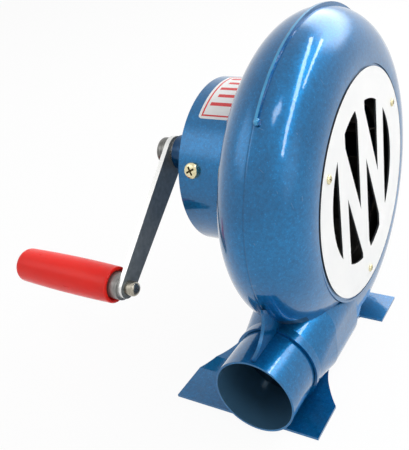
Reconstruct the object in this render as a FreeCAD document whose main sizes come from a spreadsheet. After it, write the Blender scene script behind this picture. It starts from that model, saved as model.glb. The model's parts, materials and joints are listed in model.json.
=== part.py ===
"""Hand crank forge blower, built as a parametric FreeCAD document in millimetres.

The fan turns about an axis along X. +X is the air inlet side and -X the crank side. The outlet blows
towards -Y and +Z is up. The pieces are drawn with Y and Z planes through the ground below the fan's axis.
The written parts have their origin in the middle of the rear feet's underside instead.
"""
import FreeCAD, Part
import Sketcher
import math
import os
import re

from FreeCAD import Vector

SIZES = (
    # pressed scroll housing
    ("scroll_radius", 129, "outer radius of the scroll's rim"),
    ("scroll_rounding", 38, "radial depth of the rounded rim"),
    ("inlet_depth", 34.7, "middle plane to the inlet face"),
    ("crank_depth", 33, "middle plane to the crank side face"),
    ("housing_sheet", 1.5, "thickness of the pressed housing sheet"),
    ("seam_offset", 1.8, "plane where the two shells meet"),
    ("tongue_radius", 105, "smaller rim radius that leads into the tongue"),
    ("tongue_start", 165, "angle where the smaller rim begins"),
    ("tongue_end", 248, "angle where the full rim ends below the tongue"),
    ("boss_rounding", 17, "radial depth of the raised edge round the inlet"),
    ("bead_rise", 2.2, "height of the seam bead over the rim"),
    ("bead_width", 2.6, "width of the seam bead"),
    ("bead_start", -75, "angle where the seam bead begins"),
    ("bead_end", 139, "angle where the seam bead ends"),
    ("knob_radius", 2.6, "radius of the knob on the bead's end"),
    ("lip_length", 5, "overlap of the joggled lip inside the inlet shell"),
    ("lip_clearance", 0.35, "gap around the joggled lip"),
    ("lip_start", -60, "angle where the joggled lip begins"),
    ("lip_margin", 5, "angle by which the lip stops short of the tongue"),
    ("rib_flare", 40, "angle from the tongue's start to the top of the neck's rib"),
    # outlet
    ("outlet_radius", 30.25, "outer radius of the outlet pipe"),
    ("outlet_wall", 1.5, "wall of the outlet pipe"),
    ("outlet_reach", 141, "fan axis to the outlet's mouth"),
    ("stub_length", 35, "free length of the outlet pipe"),
    ("stub_shoulder", 1, "where the pipe is drawn in, ahead of the socket"),
    ("spigot_draw", 0.25, "how far the pipe's inner end is drawn in"),
    ("spigot_flare", 0.65, "how much the pipe's bore widens towards its inner end"),
    ("pipe_insert", 7, "length of pipe inside the socket"),
    ("pipe_fit", 0.25, "clearance of the drawn-in end in its socket"),
    ("socket_length", 8, "straight socket at the neck's end"),
    ("socket_bead", 0.6, "rise of the rolled bead on the socket"),
    ("neck_taper", 26, "length over which the square neck turns round"),
    ("neck_dip", 12, "length over which the neck's underside dips to the outlet"),
    ("neck_height", 67, "height of the square neck"),
    ("neck_corner", 24, "corner radius of the square neck"),
    ("neck_spread", 30, "length over which the neck grows to full width"),
    ("neck_root", 29.5, "half width of the neck where it leaves the rim"),
    ("outlet_drop", 1.75, "how far the outlet dips below the neck"),
    # inlet guard
    ("grille_radius", 86.7, "radius of the white inlet guard"),
    ("grille_sheet", 1.5, "thickness of the inlet guard"),
    ("grille_gap", 1.9, "gap between the guard and the recess wall"),
    ("grille_rise", 0.5, "how far the guard stands above the inlet face"),
    ("slot_zone", 62, "radius of the slotted zone"),
    ("slot_shift_y", -3, "slotted zone's centre from the fan axis, along Y"),
    ("slot_shift_z", 3, "slotted zone's centre from the fan axis, along Z"),
    ("eye_margin", 8, "ledge left outside the slotted zone"),
    ("rib_width", 14.8, "width of the guard's ribs"),
    ("rib_pitch", 39.7, "distance between the upright ribs"),
    ("rib_shift", -4.5, "middle upright rib from the fan axis, along Y"),
    ("slant_pitch", 45.4, "distance between the two slanted ribs"),
    ("slant_shift", -3.6, "middle between the slanted ribs from the fan axis, along Y"),
    ("slant_angle", 22.6, "lean of the slanted ribs"),
    ("grille_screw_inset", 9.7, "guard's edge to the screws"),
    ("guard_screw_angle", 32, "angle of the guard's first screw"),
    # pressed base
    ("base_width", 118, "base along X"),
    ("base_length", 175, "base along Y"),
    ("base_shift", -17.8, "base centre from the scroll's middle plane"),
    ("base_sheet", 2, "thickness of the base sheet"),
    ("saddle_top", 6.75, "top of the raised middle of the base"),
    ("mouth_overhang", 11.5, "outlet's mouth ahead of the base"),
    ("front_foot", 33, "length of the front feet"),
    ("rear_foot", 35, "length of the rear feet"),
    ("foot_ramp", 12, "length of the slope up to the saddle"),
    ("waist_depth", 19.5, "how far the waist is cut in"),
    ("waist_curve", 47, "length of the curved run into the waist"),
    ("seat_gap", 0.3, "gap between pieces that rest on each other"),
    ("weld_leg", 6, "leg of the weld beads on the base"),
    ("weld_length", 16, "length of each weld bead"),
    # gearbox
    ("gasket", 0.8, "gasket between drum and housing"),
    ("drum_wall", 2, "wall of the gearbox drum"),
    ("drum_shift_y", 2.4, "drum centre from the fan axis, along Y"),
    ("drum_shift_z", 7.6, "drum centre from the fan axis, along Z"),
    ("drum_clearance", 2.4, "crank gear's tip to the drum's inside"),
    ("drum_rounding", 1.2, "rounded outer edge of the drum"),
    ("cover_rim", 14.5, "depth of the cover's rim"),
    ("cover_fit", 0.2, "gap between the cover and the drum"),
    ("drum_screw_inset", 12.7, "drum's end to its side screws"),
    ("drum_screw_angle", 163, "angle of the first side screw"),
    ("plate_screw_turn", 60, "angle from the lay shaft to the first screw of the plate"),
    ("plate_sheet", 3, "thickness of the bearing plate"),
    ("plate_margin", 3, "plate's edge outside the lay boss"),
    ("carrier_wall", 4, "wall of the bearing carrier"),
    ("carrier_reach", 4.2, "carrier beyond the bearing plate"),
    ("carrier_clearance", 0.5, "gap around the carrier in the housing"),
    ("boss_wall", 2.5, "wall of the lay shaft's bosses"),
    ("plate_boss", 5.2, "lay shaft's boss on the bearing plate"),
    ("cover_boss_inner", 6.5, "crank boss inside the cover"),
    ("cover_boss_outer", 24, "crank boss outside the cover"),
    ("boss_taper", 3, "how much wider the crank boss is at its foot"),
    ("boss_rib", 4, "thickness of the ribs on the crank boss"),
    ("boss_rib_reach", 16, "ribs' reach beyond the crank boss"),
    ("lay_boss_cover", 9.2, "lay shaft's boss inside the cover"),
    # gears
    ("gear_module", 1, "module of all gears"),
    ("pressure_angle", 25, "pressure angle of all gears"),
    ("backlash", 0.16, "play between meshing teeth"),
    ("crank_teeth", 66, "teeth of the crank gear"),
    ("lay_pinion_teeth", 14, "teeth of the lay shaft's pinion"),
    ("lay_teeth", 60, "teeth of the lay gear"),
    ("fan_pinion_teeth", 12, "teeth of the fan pinion"),
    ("crank_gear_width", 7, "width of the crank gear"),
    ("lay_gear_width", 6, "width of the lay gear"),
    ("pinion_overlap", 2, "pinions wider than their gears, each side"),
    ("stage_gap", 11.5, "space between the two gear stages"),
    ("gear_gap", 3.5, "carrier's end to the lay gear"),
    ("gear_web", 3, "thickness of the gears' webs"),
    ("gear_rim", 4, "radial depth of the gears' rims"),
    ("hub_clearance", 0.3, "end play beside hubs and collars"),
    ("crank_gear_hub", 8.7, "length of the crank gear's hub"),
    # shafts, bearings and bushes
    ("running_fit", 0.05, "radial clearance of shafts in their bushes"),
    ("fan_shaft_radius", 4, "radius of the fan shaft"),
    ("bearing_radius", 11, "outer radius of the ball bearings"),
    ("bearing_width", 7, "width of each ball bearing"),
    ("bearing_spacing", 3, "shoulder between the ball bearings"),
    ("inner_race", 2.2, "depth of the inner races"),
    ("race_gap", 0.4, "gap between the races"),
    ("lay_shaft_radius", 4, "radius of the lay shaft"),
    ("crank_shaft_radius", 6, "radius of the crank shaft"),
    ("bush_wall", 2, "wall of the bushes"),
    ("crank_bush_wall", 3, "wall of the crank bush"),
    ("crank_boss_wall", 5, "wall of the boss round the crank bush"),
    ("crank_key", 4, "side of the crank gear's square key"),
    ("clip_depth", 3, "depth of the retaining clips"),
    ("clip_sheet", 1.2, "thickness of the retaining clips"),
    # fan wheel
    ("wheel_radius", 87, "outer radius of the fan wheel"),
    ("wheel_eye", 60, "eye radius of the wheel's front ring"),
    ("blade_root", 44, "radius where the blades begin"),
    ("blade_count", 10, "number of blades"),
    ("blade_sheet", 1.2, "thickness of the wheel's sheet"),
    ("blade_width", 44.8, "width of the blades"),
    ("blade_lean", 35, "angle that each blade trails by"),
    ("blade_bow", 5, "bow of each blade"),
    ("wheel_hub_radius", 12, "radius of the wheel's hub"),
    ("wheel_flange_radius", 24, "radius of the hub's flange"),
    ("wheel_flange", 2, "thickness of the hub's flange"),
    ("wheel_hub_tail", 2, "hub behind its flange"),
    ("wheel_hub_nose", 14, "hub ahead of its flange"),
    ("wheel_nut", 6.5, "thickness of the wheel's nut"),
    ("wheel_nut_radius", 7.5, "corner radius of the wheel's nut"),
    ("rivet_count", 4, "rivets in the wheel's hub"),
    ("rivet_radius", 2, "radius of the rivets"),
    ("rivet_head", 1.6, "height of the rivets' heads"),
    # crank
    ("crank_shift_y", -22.7, "crank axis from the fan axis, along Y"),
    ("crank_shift_z", 21.4, "crank axis from the fan axis, along Z"),
    ("crank_throw", 117, "crank axis to the grip's axis"),
    ("crank_angle", 219.6, "direction of the arm at rest"),
    ("arm_hub_radius", 12.8, "half width of the arm at its crank end"),
    ("arm_grip_radius", 8.8, "half width of the arm at its grip end"),
    ("arm_sheet", 4, "thickness of the crank arm"),
    ("washer_radius", 10, "radius of the thrust washer"),
    ("washer_sheet", 4.4, "thickness of the thrust washer"),
    ("crank_hub_radius", 11, "radius of the round boss on the arm"),
    ("crank_hub_length", 9, "length of the round boss on the arm"),
    ("hub_rounding", 2.5, "rounded edge of the round boss"),
    ("hub_screw_radius", 5, "head radius of the screw in the boss"),
    ("hub_screw_head", 3.5, "head height of the screw in the boss"),
    ("hub_screw_shank", 3, "shank radius of the screw in the boss"),
    ("hub_screw_length", 14, "shank length of the screw in the boss"),
    # grip
    ("spindle_radius", 5, "radius of the grip's spindle"),
    ("spindle_neck", 4, "radius of the spindle through the arm"),
    ("spindle_nut_height", 8.5, "height of the domed spindle nut"),
    ("spindle_nut_radius", 5.8, "radius of the domed spindle nut"),
    ("collar_radius", 10.7, "radius of the spindle's collar"),
    ("collar_length", 13, "length of the spindle's collar"),
    ("grip_clearance", 0.08, "radial clearance of the grip on its spindle"),
    ("grip_radius", 14.5, "radius of the grip at its open end"),
    ("grip_bulge", 0.9, "barrel of the grip"),
    ("grip_tail_radius", 13.8, "radius of the grip at its closed end"),
    ("grip_length", 97, "length of the grip"),
    ("grip_socket_depth", 6, "depth of the open end round the collar"),
    ("grip_socket_gap", 1.4, "gap between the collar and the grip"),
    ("grip_rounding", 5, "rounded closed end of the grip"),
    ("grip_tail_wall", 4, "thickness of the grip's end cap"),
    ("clip_room", 9, "depth of the hollow behind the bore"),
    ("clip_room_radius", 8.6, "radius of the hollow behind the bore"),
    # fasteners
    ("bolt_radius", 2.5, "shank of the housing bolts"),
    ("bolt_head", 3, "head height of the housing bolts"),
    ("bolt_head_radius", 4.6, "head radius of the housing bolts"),
    ("nut_radius", 4.6, "corner radius of the housing nuts"),
    ("nut_height", 4, "height of the housing nuts"),
    ("hole_clearance", 0.2, "clearance of the bolts in their holes"),
    ("side_screw_radius", 2.5, "shank of the drum's side screws"),
    ("side_screw_head", 4, "head height of the drum's side screws"),
    ("side_screw_head_radius", 6.2, "head radius of the drum's side screws"),
    ("side_screw_tip", 4, "side screw beyond the cover's rim"),
    ("guard_screw_radius", 1.6, "shank of the guard's screws"),
    ("guard_screw_head", 1.6, "head height of the guard's screws"),
    ("guard_screw_head_radius", 3.2, "head radius of the guard's screws"),
    ("guard_screw_tip", 3, "guard's screw beyond the ledge"),
)

FULL_TURN = 360
HALF_TURN = 180
QUARTER_TURN = 90

NAMES = {alias for alias, number, meaning in SIZES}
doc = FreeCAD.newDocument("ForgeBlower")
sheet = doc.addObject("Spreadsheet::Sheet", "Sizes")
nodes = []


def fill_sheet():
    """Write each driving size into the sheet as a plain number with an alias."""
    for row, (alias, number, meaning) in enumerate(SIZES, start=1):
        sheet.set(f"A{row}", meaning)
        sheet.set(f"B{row}", str(number))
        sheet.setAlias(f"B{row}", alias)
    doc.recompute()


def cell(text):
    """Turn plain aliases in a formula into references to the sheet."""
    return re.sub(r"(?<![\w.])[a-z_]+\b", lambda word: link(word.group()), text)


def link(word):
    """Refer to the sheet when the word is one of its aliases."""
    return f"Sizes.{word}" if word in NAMES else word


def value(formula):
    """Number that a formula of sheet aliases gives now."""
    number = sheet.evalExpression(cell(formula))
    return float(getattr(number, "Value", number))


fill_sheet()

# Heights and places that follow from the sheet, as formulas.
FAN_Z = "(saddle_top + scroll_radius + seat_gap)"
FAN = ("0", FAN_Z)
DRUM = ("drum_shift_y", f"({FAN_Z} + drum_shift_z)")
CRANK = ("crank_shift_y", f"({FAN_Z} + crank_shift_z)")
GRIP = (
    "(crank_shift_y + crank_throw * cos(crank_angle))",
    f"({FAN_Z} + crank_shift_z + crank_throw * sin(crank_angle))",
)

# Pitch radii, shaft distances and the lay shaft's place where both distances meet.
CRANK_PITCH = "(gear_module * crank_teeth / 2)"
LAY_PINION_PITCH = "(gear_module * lay_pinion_teeth / 2)"
LAY_PITCH = "(gear_module * lay_teeth / 2)"
FAN_PITCH = "(gear_module * fan_pinion_teeth / 2)"
FIRST_REACH = f"({CRANK_PITCH} + {LAY_PINION_PITCH})"
SECOND_REACH = f"({LAY_PITCH} + {FAN_PITCH})"
SHAFT_SPAN = "(sqrt(crank_shift_y ^ 2 + crank_shift_z ^ 2))"
ALONG = f"(({FIRST_REACH} ^ 2 - {SECOND_REACH} ^ 2 + {SHAFT_SPAN} ^ 2) / (2 * {SHAFT_SPAN}))"
ACROSS = f"(sqrt({FIRST_REACH} ^ 2 - {ALONG} ^ 2))"
LAY_SHIFT_Y = f"(crank_shift_y * (1 - {ALONG} / {SHAFT_SPAN}) + crank_shift_z * {ACROSS} / {SHAFT_SPAN})"
LAY_SHIFT_Z = f"(crank_shift_z * (1 - {ALONG} / {SHAFT_SPAN}) - crank_shift_y * {ACROSS} / {SHAFT_SPAN})"
LAY = (LAY_SHIFT_Y, f"({FAN_Z} + {LAY_SHIFT_Z})")
LAY_FROM_DRUM_Y = f"({LAY_SHIFT_Y} - drum_shift_y)"
LAY_FROM_DRUM_Z = f"({LAY_SHIFT_Z} - drum_shift_z)"
LAY_FROM_DRUM = f"(sqrt({LAY_FROM_DRUM_Y} ^ 2 + {LAY_FROM_DRUM_Z} ^ 2))"
LAY_BEARING = f"{math.degrees(math.atan2(value(LAY_FROM_DRUM_Z), value(LAY_FROM_DRUM_Y))):.4f}"
CRANK_FROM_DRUM = "(sqrt((crank_shift_y - drum_shift_y) ^ 2 + (crank_shift_z - drum_shift_z) ^ 2))"

# Radii that follow from the pieces inside.
DRUM_INSIDE = f"({CRANK_FROM_DRUM} + {CRANK_PITCH} + gear_module + drum_clearance)"
DRUM_OUTSIDE = f"({DRUM_INSIDE} + drum_wall)"
COVER_RADIUS = f"({DRUM_INSIDE} - cover_fit)"
LAY_BUSH = "(lay_shaft_radius + running_fit + bush_wall)"
LAY_BOSS = f"({LAY_BUSH} + boss_wall)"
PLATE_RADIUS = f"({LAY_FROM_DRUM} + {LAY_BOSS} + plate_margin)"
CRANK_BUSH = "(crank_shaft_radius + running_fit + crank_bush_wall)"
CRANK_BOSS = f"({CRANK_BUSH} + crank_boss_wall)"
CARRIER = "(bearing_radius + carrier_wall)"
SPIGOT_RADIUS = "(outlet_radius - spigot_draw)"
OUTLET_BORE = "(outlet_radius - outlet_wall)"
NECK_RADIUS = f"({SPIGOT_RADIUS} + pipe_fit + housing_sheet)"
MIDDLE = "((inlet_depth - crank_depth) / 2)"
OUTLET = (MIDDLE, f"(saddle_top + {NECK_RADIUS} - outlet_drop)")
RECESS = "(grille_radius + grille_gap)"
EYE = "(slot_zone + eye_margin)"
BASE_FRONT = "(mouth_overhang - outlet_reach)"
BASE_REAR = f"({BASE_FRONT} + base_length)"

# Planes across the fan's axis, from the housing out to the crank.
GUARD_FACE = "(inlet_depth + grille_rise)"
LEDGE_FACE = f"({GUARD_FACE} - grille_sheet)"
HOUSING_BACK = "(-crank_depth)"
HOUSING_INSIDE = "(-crank_depth + housing_sheet)"
GASKET_BACK = f"({HOUSING_BACK} - gasket)"
FLANGE_BACK = f"({GASKET_BACK} - drum_wall)"
PLATE_BACK = f"({FLANGE_BACK} - plate_sheet)"
CARRIER_BACK = f"({PLATE_BACK} - carrier_reach)"
CARRIER_FRONT = f"({CARRIER_BACK} + 2 * bearing_width + bearing_spacing)"
LAY_GEAR_FRONT = f"({CARRIER_BACK} - gear_gap)"
LAY_GEAR_BACK = f"({LAY_GEAR_FRONT} - lay_gear_width)"
FAN_PINION_BACK = f"({LAY_GEAR_BACK} - pinion_overlap)"
CRANK_GEAR_FRONT = f"({LAY_GEAR_BACK} - stage_gap)"
CRANK_GEAR_BACK = f"({CRANK_GEAR_FRONT} - crank_gear_width)"
CRANK_HUB_BACK = f"({CRANK_GEAR_BACK} - crank_gear_hub)"
BUSH_INSIDE = f"({CRANK_HUB_BACK} - hub_clearance)"
COVER_INSIDE = f"({BUSH_INSIDE} - cover_boss_inner)"
COVER_FACE = f"({COVER_INSIDE} - drum_wall)"
BOSS_END = f"({COVER_FACE} - cover_boss_outer)"
WASHER_FRONT = f"({BOSS_END} - hub_clearance)"
ARM_FRONT = f"({WASHER_FRONT} - washer_sheet)"
ARM_BACK = f"({ARM_FRONT} - arm_sheet)"
CRANK_END = f"({ARM_BACK} - crank_hub_length)"
COLLAR_END = f"({ARM_BACK} - collar_length)"
SOCKET_FLOOR = f"({COLLAR_END} - hub_clearance)"
GRIP_MOUTH = f"({SOCKET_FLOOR} + grip_socket_depth)"
GRIP_END = f"({GRIP_MOUTH} - grip_length)"
CAP_INSIDE = f"({GRIP_END} + grip_tail_wall)"
BORE_END = f"({CAP_INSIDE} + clip_room)"
LAY_BOSS_FACE = f"({PLATE_BACK} - plate_boss)"
COVER_LAY_FACE = f"({COVER_INSIDE} + lay_boss_cover)"
WHEEL_BACK = f"({CARRIER_FRONT} + wheel_hub_tail)"
DISC_BACK = f"({WHEEL_BACK} + wheel_flange)"
DISC_FRONT = f"({DISC_BACK} + blade_sheet)"
RING_BACK = f"({DISC_FRONT} + blade_width)"
HUB_NOSE = f"({DISC_BACK} + wheel_hub_nose)"

ALONG_X = FreeCAD.Rotation(Vector(0, 1, 0), QUARTER_TURN)
ALONG_Y = FreeCAD.Rotation(Vector(1, 0, 0), -QUARTER_TURN)


def bind(thing, **formulas):
    """Bind properties of an object to formulas of the sheet."""
    for name, formula in formulas.items():
        thing.setExpression(name, cell(formula))


def place(thing, x, y, z):
    """Bind an object's position to formulas of the sheet."""
    thing.setExpression("Placement.Base.x", cell(x))
    thing.setExpression("Placement.Base.y", cell(y))
    thing.setExpression("Placement.Base.z", cell(z))


def keep(thing, label):
    """Name a finished sub-part and list it for export."""
    thing.Label = label
    nodes.append(thing)
    return thing


def rod(start, end, radius, centre, rotation=ALONG_X):
    """Cylinder along X between two planes."""
    solid = doc.addObject("Part::Cylinder", "Rod")
    solid.Placement.Rotation = rotation
    bind(solid, Radius=radius, Height=f"{end} - {start}")
    place(solid, start, *centre)
    return solid


def taper(start, end, start_radius, end_radius, centre):
    """Cone along X between two planes."""
    solid = doc.addObject("Part::Cone", "Taper")
    solid.Placement.Rotation = ALONG_X
    bind(solid, Radius1=start_radius, Radius2=end_radius, Height=f"{end} - {start}")
    place(solid, start, *centre)
    return solid


def hexagon(start, end, radius, centre):
    """Hexagonal bar along X between two planes."""
    solid = doc.addObject("Part::Prism", "Hexagon")
    solid.Polygon = 6
    solid.Placement.Rotation = ALONG_X
    bind(solid, Circumradius=radius, Height=f"{end} - {start}")
    place(solid, start, *centre)
    return solid


def fuse(*solids):
    """Join overlapping or touching solids into one."""
    joined = doc.addObject("Part::MultiFuse", "Joined")
    joined.Shapes = list(solids)
    joined.Refine = True
    return joined


def cut(base, *tools):
    """Take one or more solids out of a base."""
    result = doc.addObject("Part::Cut", "Cut")
    result.Base = base
    result.Tool = tools[0] if len(tools) == 1 else fuse(*tools)
    result.Refine = True
    return result


def group(*solids):
    """Hold separate solids in one node."""
    result = doc.addObject("Part::Compound", "Group")
    result.Links = list(solids)
    return result


def tube(start, end, outer, inner, centre):
    """Hollow cylinder along X between two planes."""
    return cut(rod(start, end, outer, centre), rod(start, end, inner, centre))


def round_about(centre, radius, angle):
    """Centre of a point that lies on a circle in the YZ plane."""
    return (f"({centre[0]} + {radius} * cos({angle}))", f"({centre[1]} + {radius} * sin({angle}))")


def spread(centre, radius, first_angle, count):
    """Centres of evenly spaced points on a circle in the YZ plane."""
    step = FULL_TURN / count
    return [round_about(centre, radius, f"({first_angle} + {index * step})") for index in range(count)]


def feature(label, shape, centre=FAN):
    """Sub-part from a shape that was drawn about an axis through the origin."""
    thing = doc.addObject("Part::Feature", label)
    thing.Shape = shape
    thing.Placement = FreeCAD.Placement(Vector(0, value(centre[0]), value(centre[1])), FreeCAD.Rotation())
    return keep(thing, label)


def radial(angle, radius, x=0):
    """Point at an angle and a radius about the X axis."""
    turn = math.radians(angle)
    return Vector(x, radius * math.cos(turn), radius * math.sin(turn))


def prism(points, start, end):
    """Solid between two planes across X, from corners given in Y and Z."""
    corners = [Vector(start, y, z) for y, z in points]
    face = Part.Face(Part.makePolygon(corners + corners[:1]))
    return face.extrude(Vector(end - start, 0, 0))


# ---------------------------------------------------------------- scroll housing


def scroll_sector(centre, rim, flat, skin, start, sweep):
    """Part of the scroll, turned about its own centre, `skin` below the outer surface."""
    inlet = value("inlet_depth") - skin
    crank = -value("crank_depth") + skin
    outward = radial(start, 1)

    def point(x, radius):
        return centre + Vector(x, 0, 0) + outward * radius

    def quarter(first, corner, last):
        curve = Part.BezierCurve()
        curve.setPoles([first, corner, last])
        curve.setWeight(2, math.sqrt(0.5))
        return curve.toShape()

    edges = [
        Part.makeLine(point(crank, 0), point(crank, flat)),
        quarter(point(crank, flat), point(crank, rim - skin), point(0, rim - skin)),
        quarter(point(0, rim - skin), point(inlet, rim - skin), point(inlet, flat)),
        Part.makeLine(point(inlet, flat), point(inlet, 0)),
        Part.makeLine(point(inlet, 0), point(crank, 0)),
    ]
    return Part.Face(Part.Wire(edges)).revolve(centre, Vector(1, 0, 0), sweep)


def neck_section(y, half, low, high, corner):
    """Rounded rectangle across Y, in the middle of the housing's width."""
    middle = value(MIDDLE)
    right = middle + half - corner
    left = middle - half + corner
    top = high - corner
    bottom = low + corner
    arcs = []
    for index, (x, z) in enumerate(((right, top), (left, top), (left, bottom), (right, bottom))):
        turn = math.pi / 2 * index
        angles = (turn, turn + math.pi / 4, turn + math.pi / 2)
        ends = [Vector(x + corner * math.cos(a), y, z + corner * math.sin(a)) for a in angles]
        arcs.append((Part.Arc(*ends).toShape(), ends[0], ends[2]))
    edges = []
    for (arc, first, last), (_, following, _) in zip(arcs, arcs[1:] + arcs[:1]):
        edges.append(arc)
        edges.append(Part.makeLine(last, following))
    return Part.Wire(edges)


def neck_solid(skin):
    """Square neck that leaves the scroll along the ground and turns round at the outlet."""
    ground = value("saddle_top") - value(FAN_Z)
    low = ground + skin
    high = ground + value("neck_height") - skin
    half = value("(inlet_depth + crank_depth) / 2") - skin
    root = value("neck_root") - skin
    corner = value("neck_corner") - skin
    round_radius = value(NECK_RADIUS) - skin
    axis = value(f"{OUTLET[1]} - {FAN_Z}")
    end = -value("outlet_reach - stub_length")
    socket = end + value("socket_length")
    square = socket + value("neck_taper")
    dip = socket + value("neck_dip")
    turned = 1 - value("neck_dip / neck_taper")
    opening = end - skin
    flats = 0.1

    def round_section(y):
        return neck_section(y, round_radius, axis - round_radius, axis + round_radius, round_radius - flats)

    def between(first, last):
        return first + (last - first) * turned

    sections = [
        neck_section(0, root, low, high, root - flats),
        neck_section(-value("neck_spread"), half, low, high, corner),
        neck_section(square, half, low, high, corner),
        neck_section(dip, between(half, round_radius), low, between(high, axis + round_radius),
                     between(corner, round_radius - flats)),
        round_section(socket),
        round_section(opening),
    ]
    return Part.makeLoft(sections, True, True)


def socket_bead():
    """Rolled bead round the neck's end."""
    end = -value("outlet_reach - stub_length")
    width = 2 * value("housing_sheet")
    radius = value(f"{NECK_RADIUS} + socket_bead")
    middle = Vector(value(MIDDLE), end, value(f"{OUTLET[1]} - {FAN_Z}"))
    return Part.makeCylinder(radius, width, middle, Vector(0, 1, 0))


def scroll_volume(skin):
    """Whole outer form of the housing, or its inside when `skin` is the sheet."""
    start = value("tongue_start")
    end = value("tongue_end")
    shift = radial(start, value("scroll_radius - tongue_radius"))
    flat = value("scroll_radius - scroll_rounding")
    tongue_radius = value("tongue_radius")
    tongue_flat = value("tongue_radius - scroll_rounding")
    rim = scroll_sector(Vector(), value("scroll_radius"), flat, skin, end, FULL_TURN - end + start)
    tongue = scroll_sector(shift, tongue_radius, tongue_flat, skin, start, HALF_TURN)
    boss = scroll_sector(Vector(), flat + value("boss_rounding"), flat, skin, start, HALF_TURN)
    boss = boss.common(half_space(0, value("inlet_depth")))
    return rim.fuse([tongue, boss, neck_solid(skin)]).removeSplitter()


def half_space(start, end):
    """Block that holds everything between two planes across X."""
    reach = 4 * value("scroll_radius")
    return Part.makeBox(end - start, 2 * reach, 2 * reach, Vector(start, -reach, -reach))


def drill(centre, radius, start, end):
    """Round cutter along X, placed about the fan's axis."""
    middle = Vector(start, value(centre[0]), value(centre[1]) - value(FAN_Z))
    return Part.makeCylinder(radius, end - start, middle, Vector(1, 0, 0))


def bolt_centres():
    """Bolts that hold the drum to the housing."""
    return spread(DRUM, f"(({PLATE_RADIUS} + {DRUM_INSIDE}) / 2)", LAY_BEARING, 4)


def plate_screw_centres():
    """Screws that hold the bearing plate, clear of both of its bosses."""
    circle = f"({PLATE_RADIUS} - bolt_head_radius - housing_sheet)"
    return spread(DRUM, circle, f"({LAY_BEARING} + plate_screw_turn)", 3)


def ring_profile(points, start, sweep):
    """Turn a closed outline, given in X and radius, about the fan's axis."""
    corners = [radial(start, radius, x) for x, radius in points]
    face = Part.Face(Part.makePolygon(corners + corners[:1]))
    return face.revolve(Vector(), Vector(1, 0, 0), sweep)


def rim_at(x, skin):
    """Radius of the rim at a plane on the inlet side."""
    depth = value("inlet_depth") - skin
    rounding = value("scroll_rounding") - skin
    return value("scroll_radius - scroll_rounding") + rounding * math.sqrt(1 - (x / depth) ** 2)


def seam_rib():
    """Upright flange where the shells meet on top of the neck, from the tongue to the outlet's mouth."""
    rise = value("bead_rise")
    start = value("tongue_start")
    shift = radial(start, value("scroll_radius - tongue_radius"))
    top = shift + radial(start + value("rib_flare"), value("tongue_radius") + rise)
    pipe_top = value(OUTLET[1]) - value(FAN_Z) + value("outlet_radius")
    mouth = Vector(0, -value("outlet_reach") + rise, pipe_top + rise)
    corner = Vector(0, top.y, mouth.z)
    middle = corner * 0.5 + (top + mouth) * 0.25
    foot = Vector(0, mouth.y, pipe_top + value("pipe_fit"))
    inside = Vector(0, shift.y - value("tongue_radius") / 2, foot.z)
    edges = [
        Part.Arc(top, middle, mouth).toShape(),
        Part.makeLine(mouth, foot),
        Part.makeLine(foot, inside),
        Part.makeLine(inside, top),
    ]
    width = Vector(value("bead_width"), 0, 0)
    rib = Part.Face(Part.Wire(edges)).extrude(width)
    rib.translate(Vector(value("seam_offset"), 0, 0))
    return rib


def seam_bead():
    """Raised bead round the rim with a small knob on its end."""
    seam = value("seam_offset")
    width = value("bead_width")
    low = rim_at(seam + width, 0) - value("housing_sheet") / 2
    high = value("scroll_radius + bead_rise")
    start = value("bead_start")
    end = value("bead_end")
    outline = [(seam, low), (seam + width, low), (seam + width, high), (seam, high)]
    bead = ring_profile(outline, start, end - start)
    knob = Part.makeSphere(value("knob_radius"), radial(end, high - value("knob_radius") / 2, seam + width))
    return bead.fuse(knob.common(half_space(seam, 2 * seam + width)))


def shells():
    """Both pressed halves of the scroll housing, split at the seam."""
    sheet_wall = value("housing_sheet")
    seam = value("seam_offset")
    far = 2 * value("inlet_depth + crank_depth")
    outer = scroll_volume(0).fuse(socket_bead())
    inner = scroll_volume(sheet_wall)
    wall = outer.cut(inner)

    rear = wall.common(half_space(-far, seam))
    seam_radius = rim_at(seam, sheet_wall)
    lip_end = seam + value("lip_length")
    end_radius = rim_at(lip_end, sheet_wall) - value("lip_clearance")
    lip = [
        (-2 * sheet_wall, seam_radius + sheet_wall / 3),
        (seam, seam_radius + sheet_wall / 3),
        (seam, seam_radius - value("lip_clearance")),
        (lip_end, end_radius),
        (lip_end, end_radius - sheet_wall),
        (-2 * sheet_wall, seam_radius - sheet_wall),
    ]
    lip_start = value("lip_start")
    lip_stop = value("tongue_start - lip_margin")
    rear = rear.fuse(ring_profile(lip, lip_start, lip_stop - lip_start))
    holes = [drill(FAN, value(f"{CARRIER} + carrier_clearance"), -far, 0)]
    for centre in bolt_centres() + plate_screw_centres():
        holes.append(drill(centre, value("bolt_radius + hole_clearance"), -far, 0))
    rear = rear.cut(holes)

    recess = value(RECESS)
    ledge_face = value(LEDGE_FACE)
    ledge_back = ledge_face - sheet_wall
    front = wall.common(half_space(seam, far))
    front = front.cut(drill(FAN, recess, ledge_back, far))
    recess_wall = [
        (ledge_back, value(EYE)),
        (ledge_back, recess + sheet_wall),
        (value("inlet_depth"), recess + sheet_wall),
        (value("inlet_depth"), recess),
        (ledge_face, recess),
        (ledge_face, value(EYE)),
    ]
    front = front.fuse([ring_profile(recess_wall, 0, FULL_TURN), seam_bead(), seam_rib().cut(inner)])
    shank = value("guard_screw_radius")
    shanks = [drill(centre, shank, ledge_back - 1, ledge_face + 1) for centre in guard_centres()]
    front = front.cut(shanks)
    feature("rear_shell", rear.removeSplitter())
    feature("inlet_shell", front.removeSplitter())
    return outer


def guard_centres():
    """Three screws of the inlet guard."""
    return spread(FAN, "(grille_radius - grille_screw_inset)", "guard_screw_angle", 3)


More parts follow.
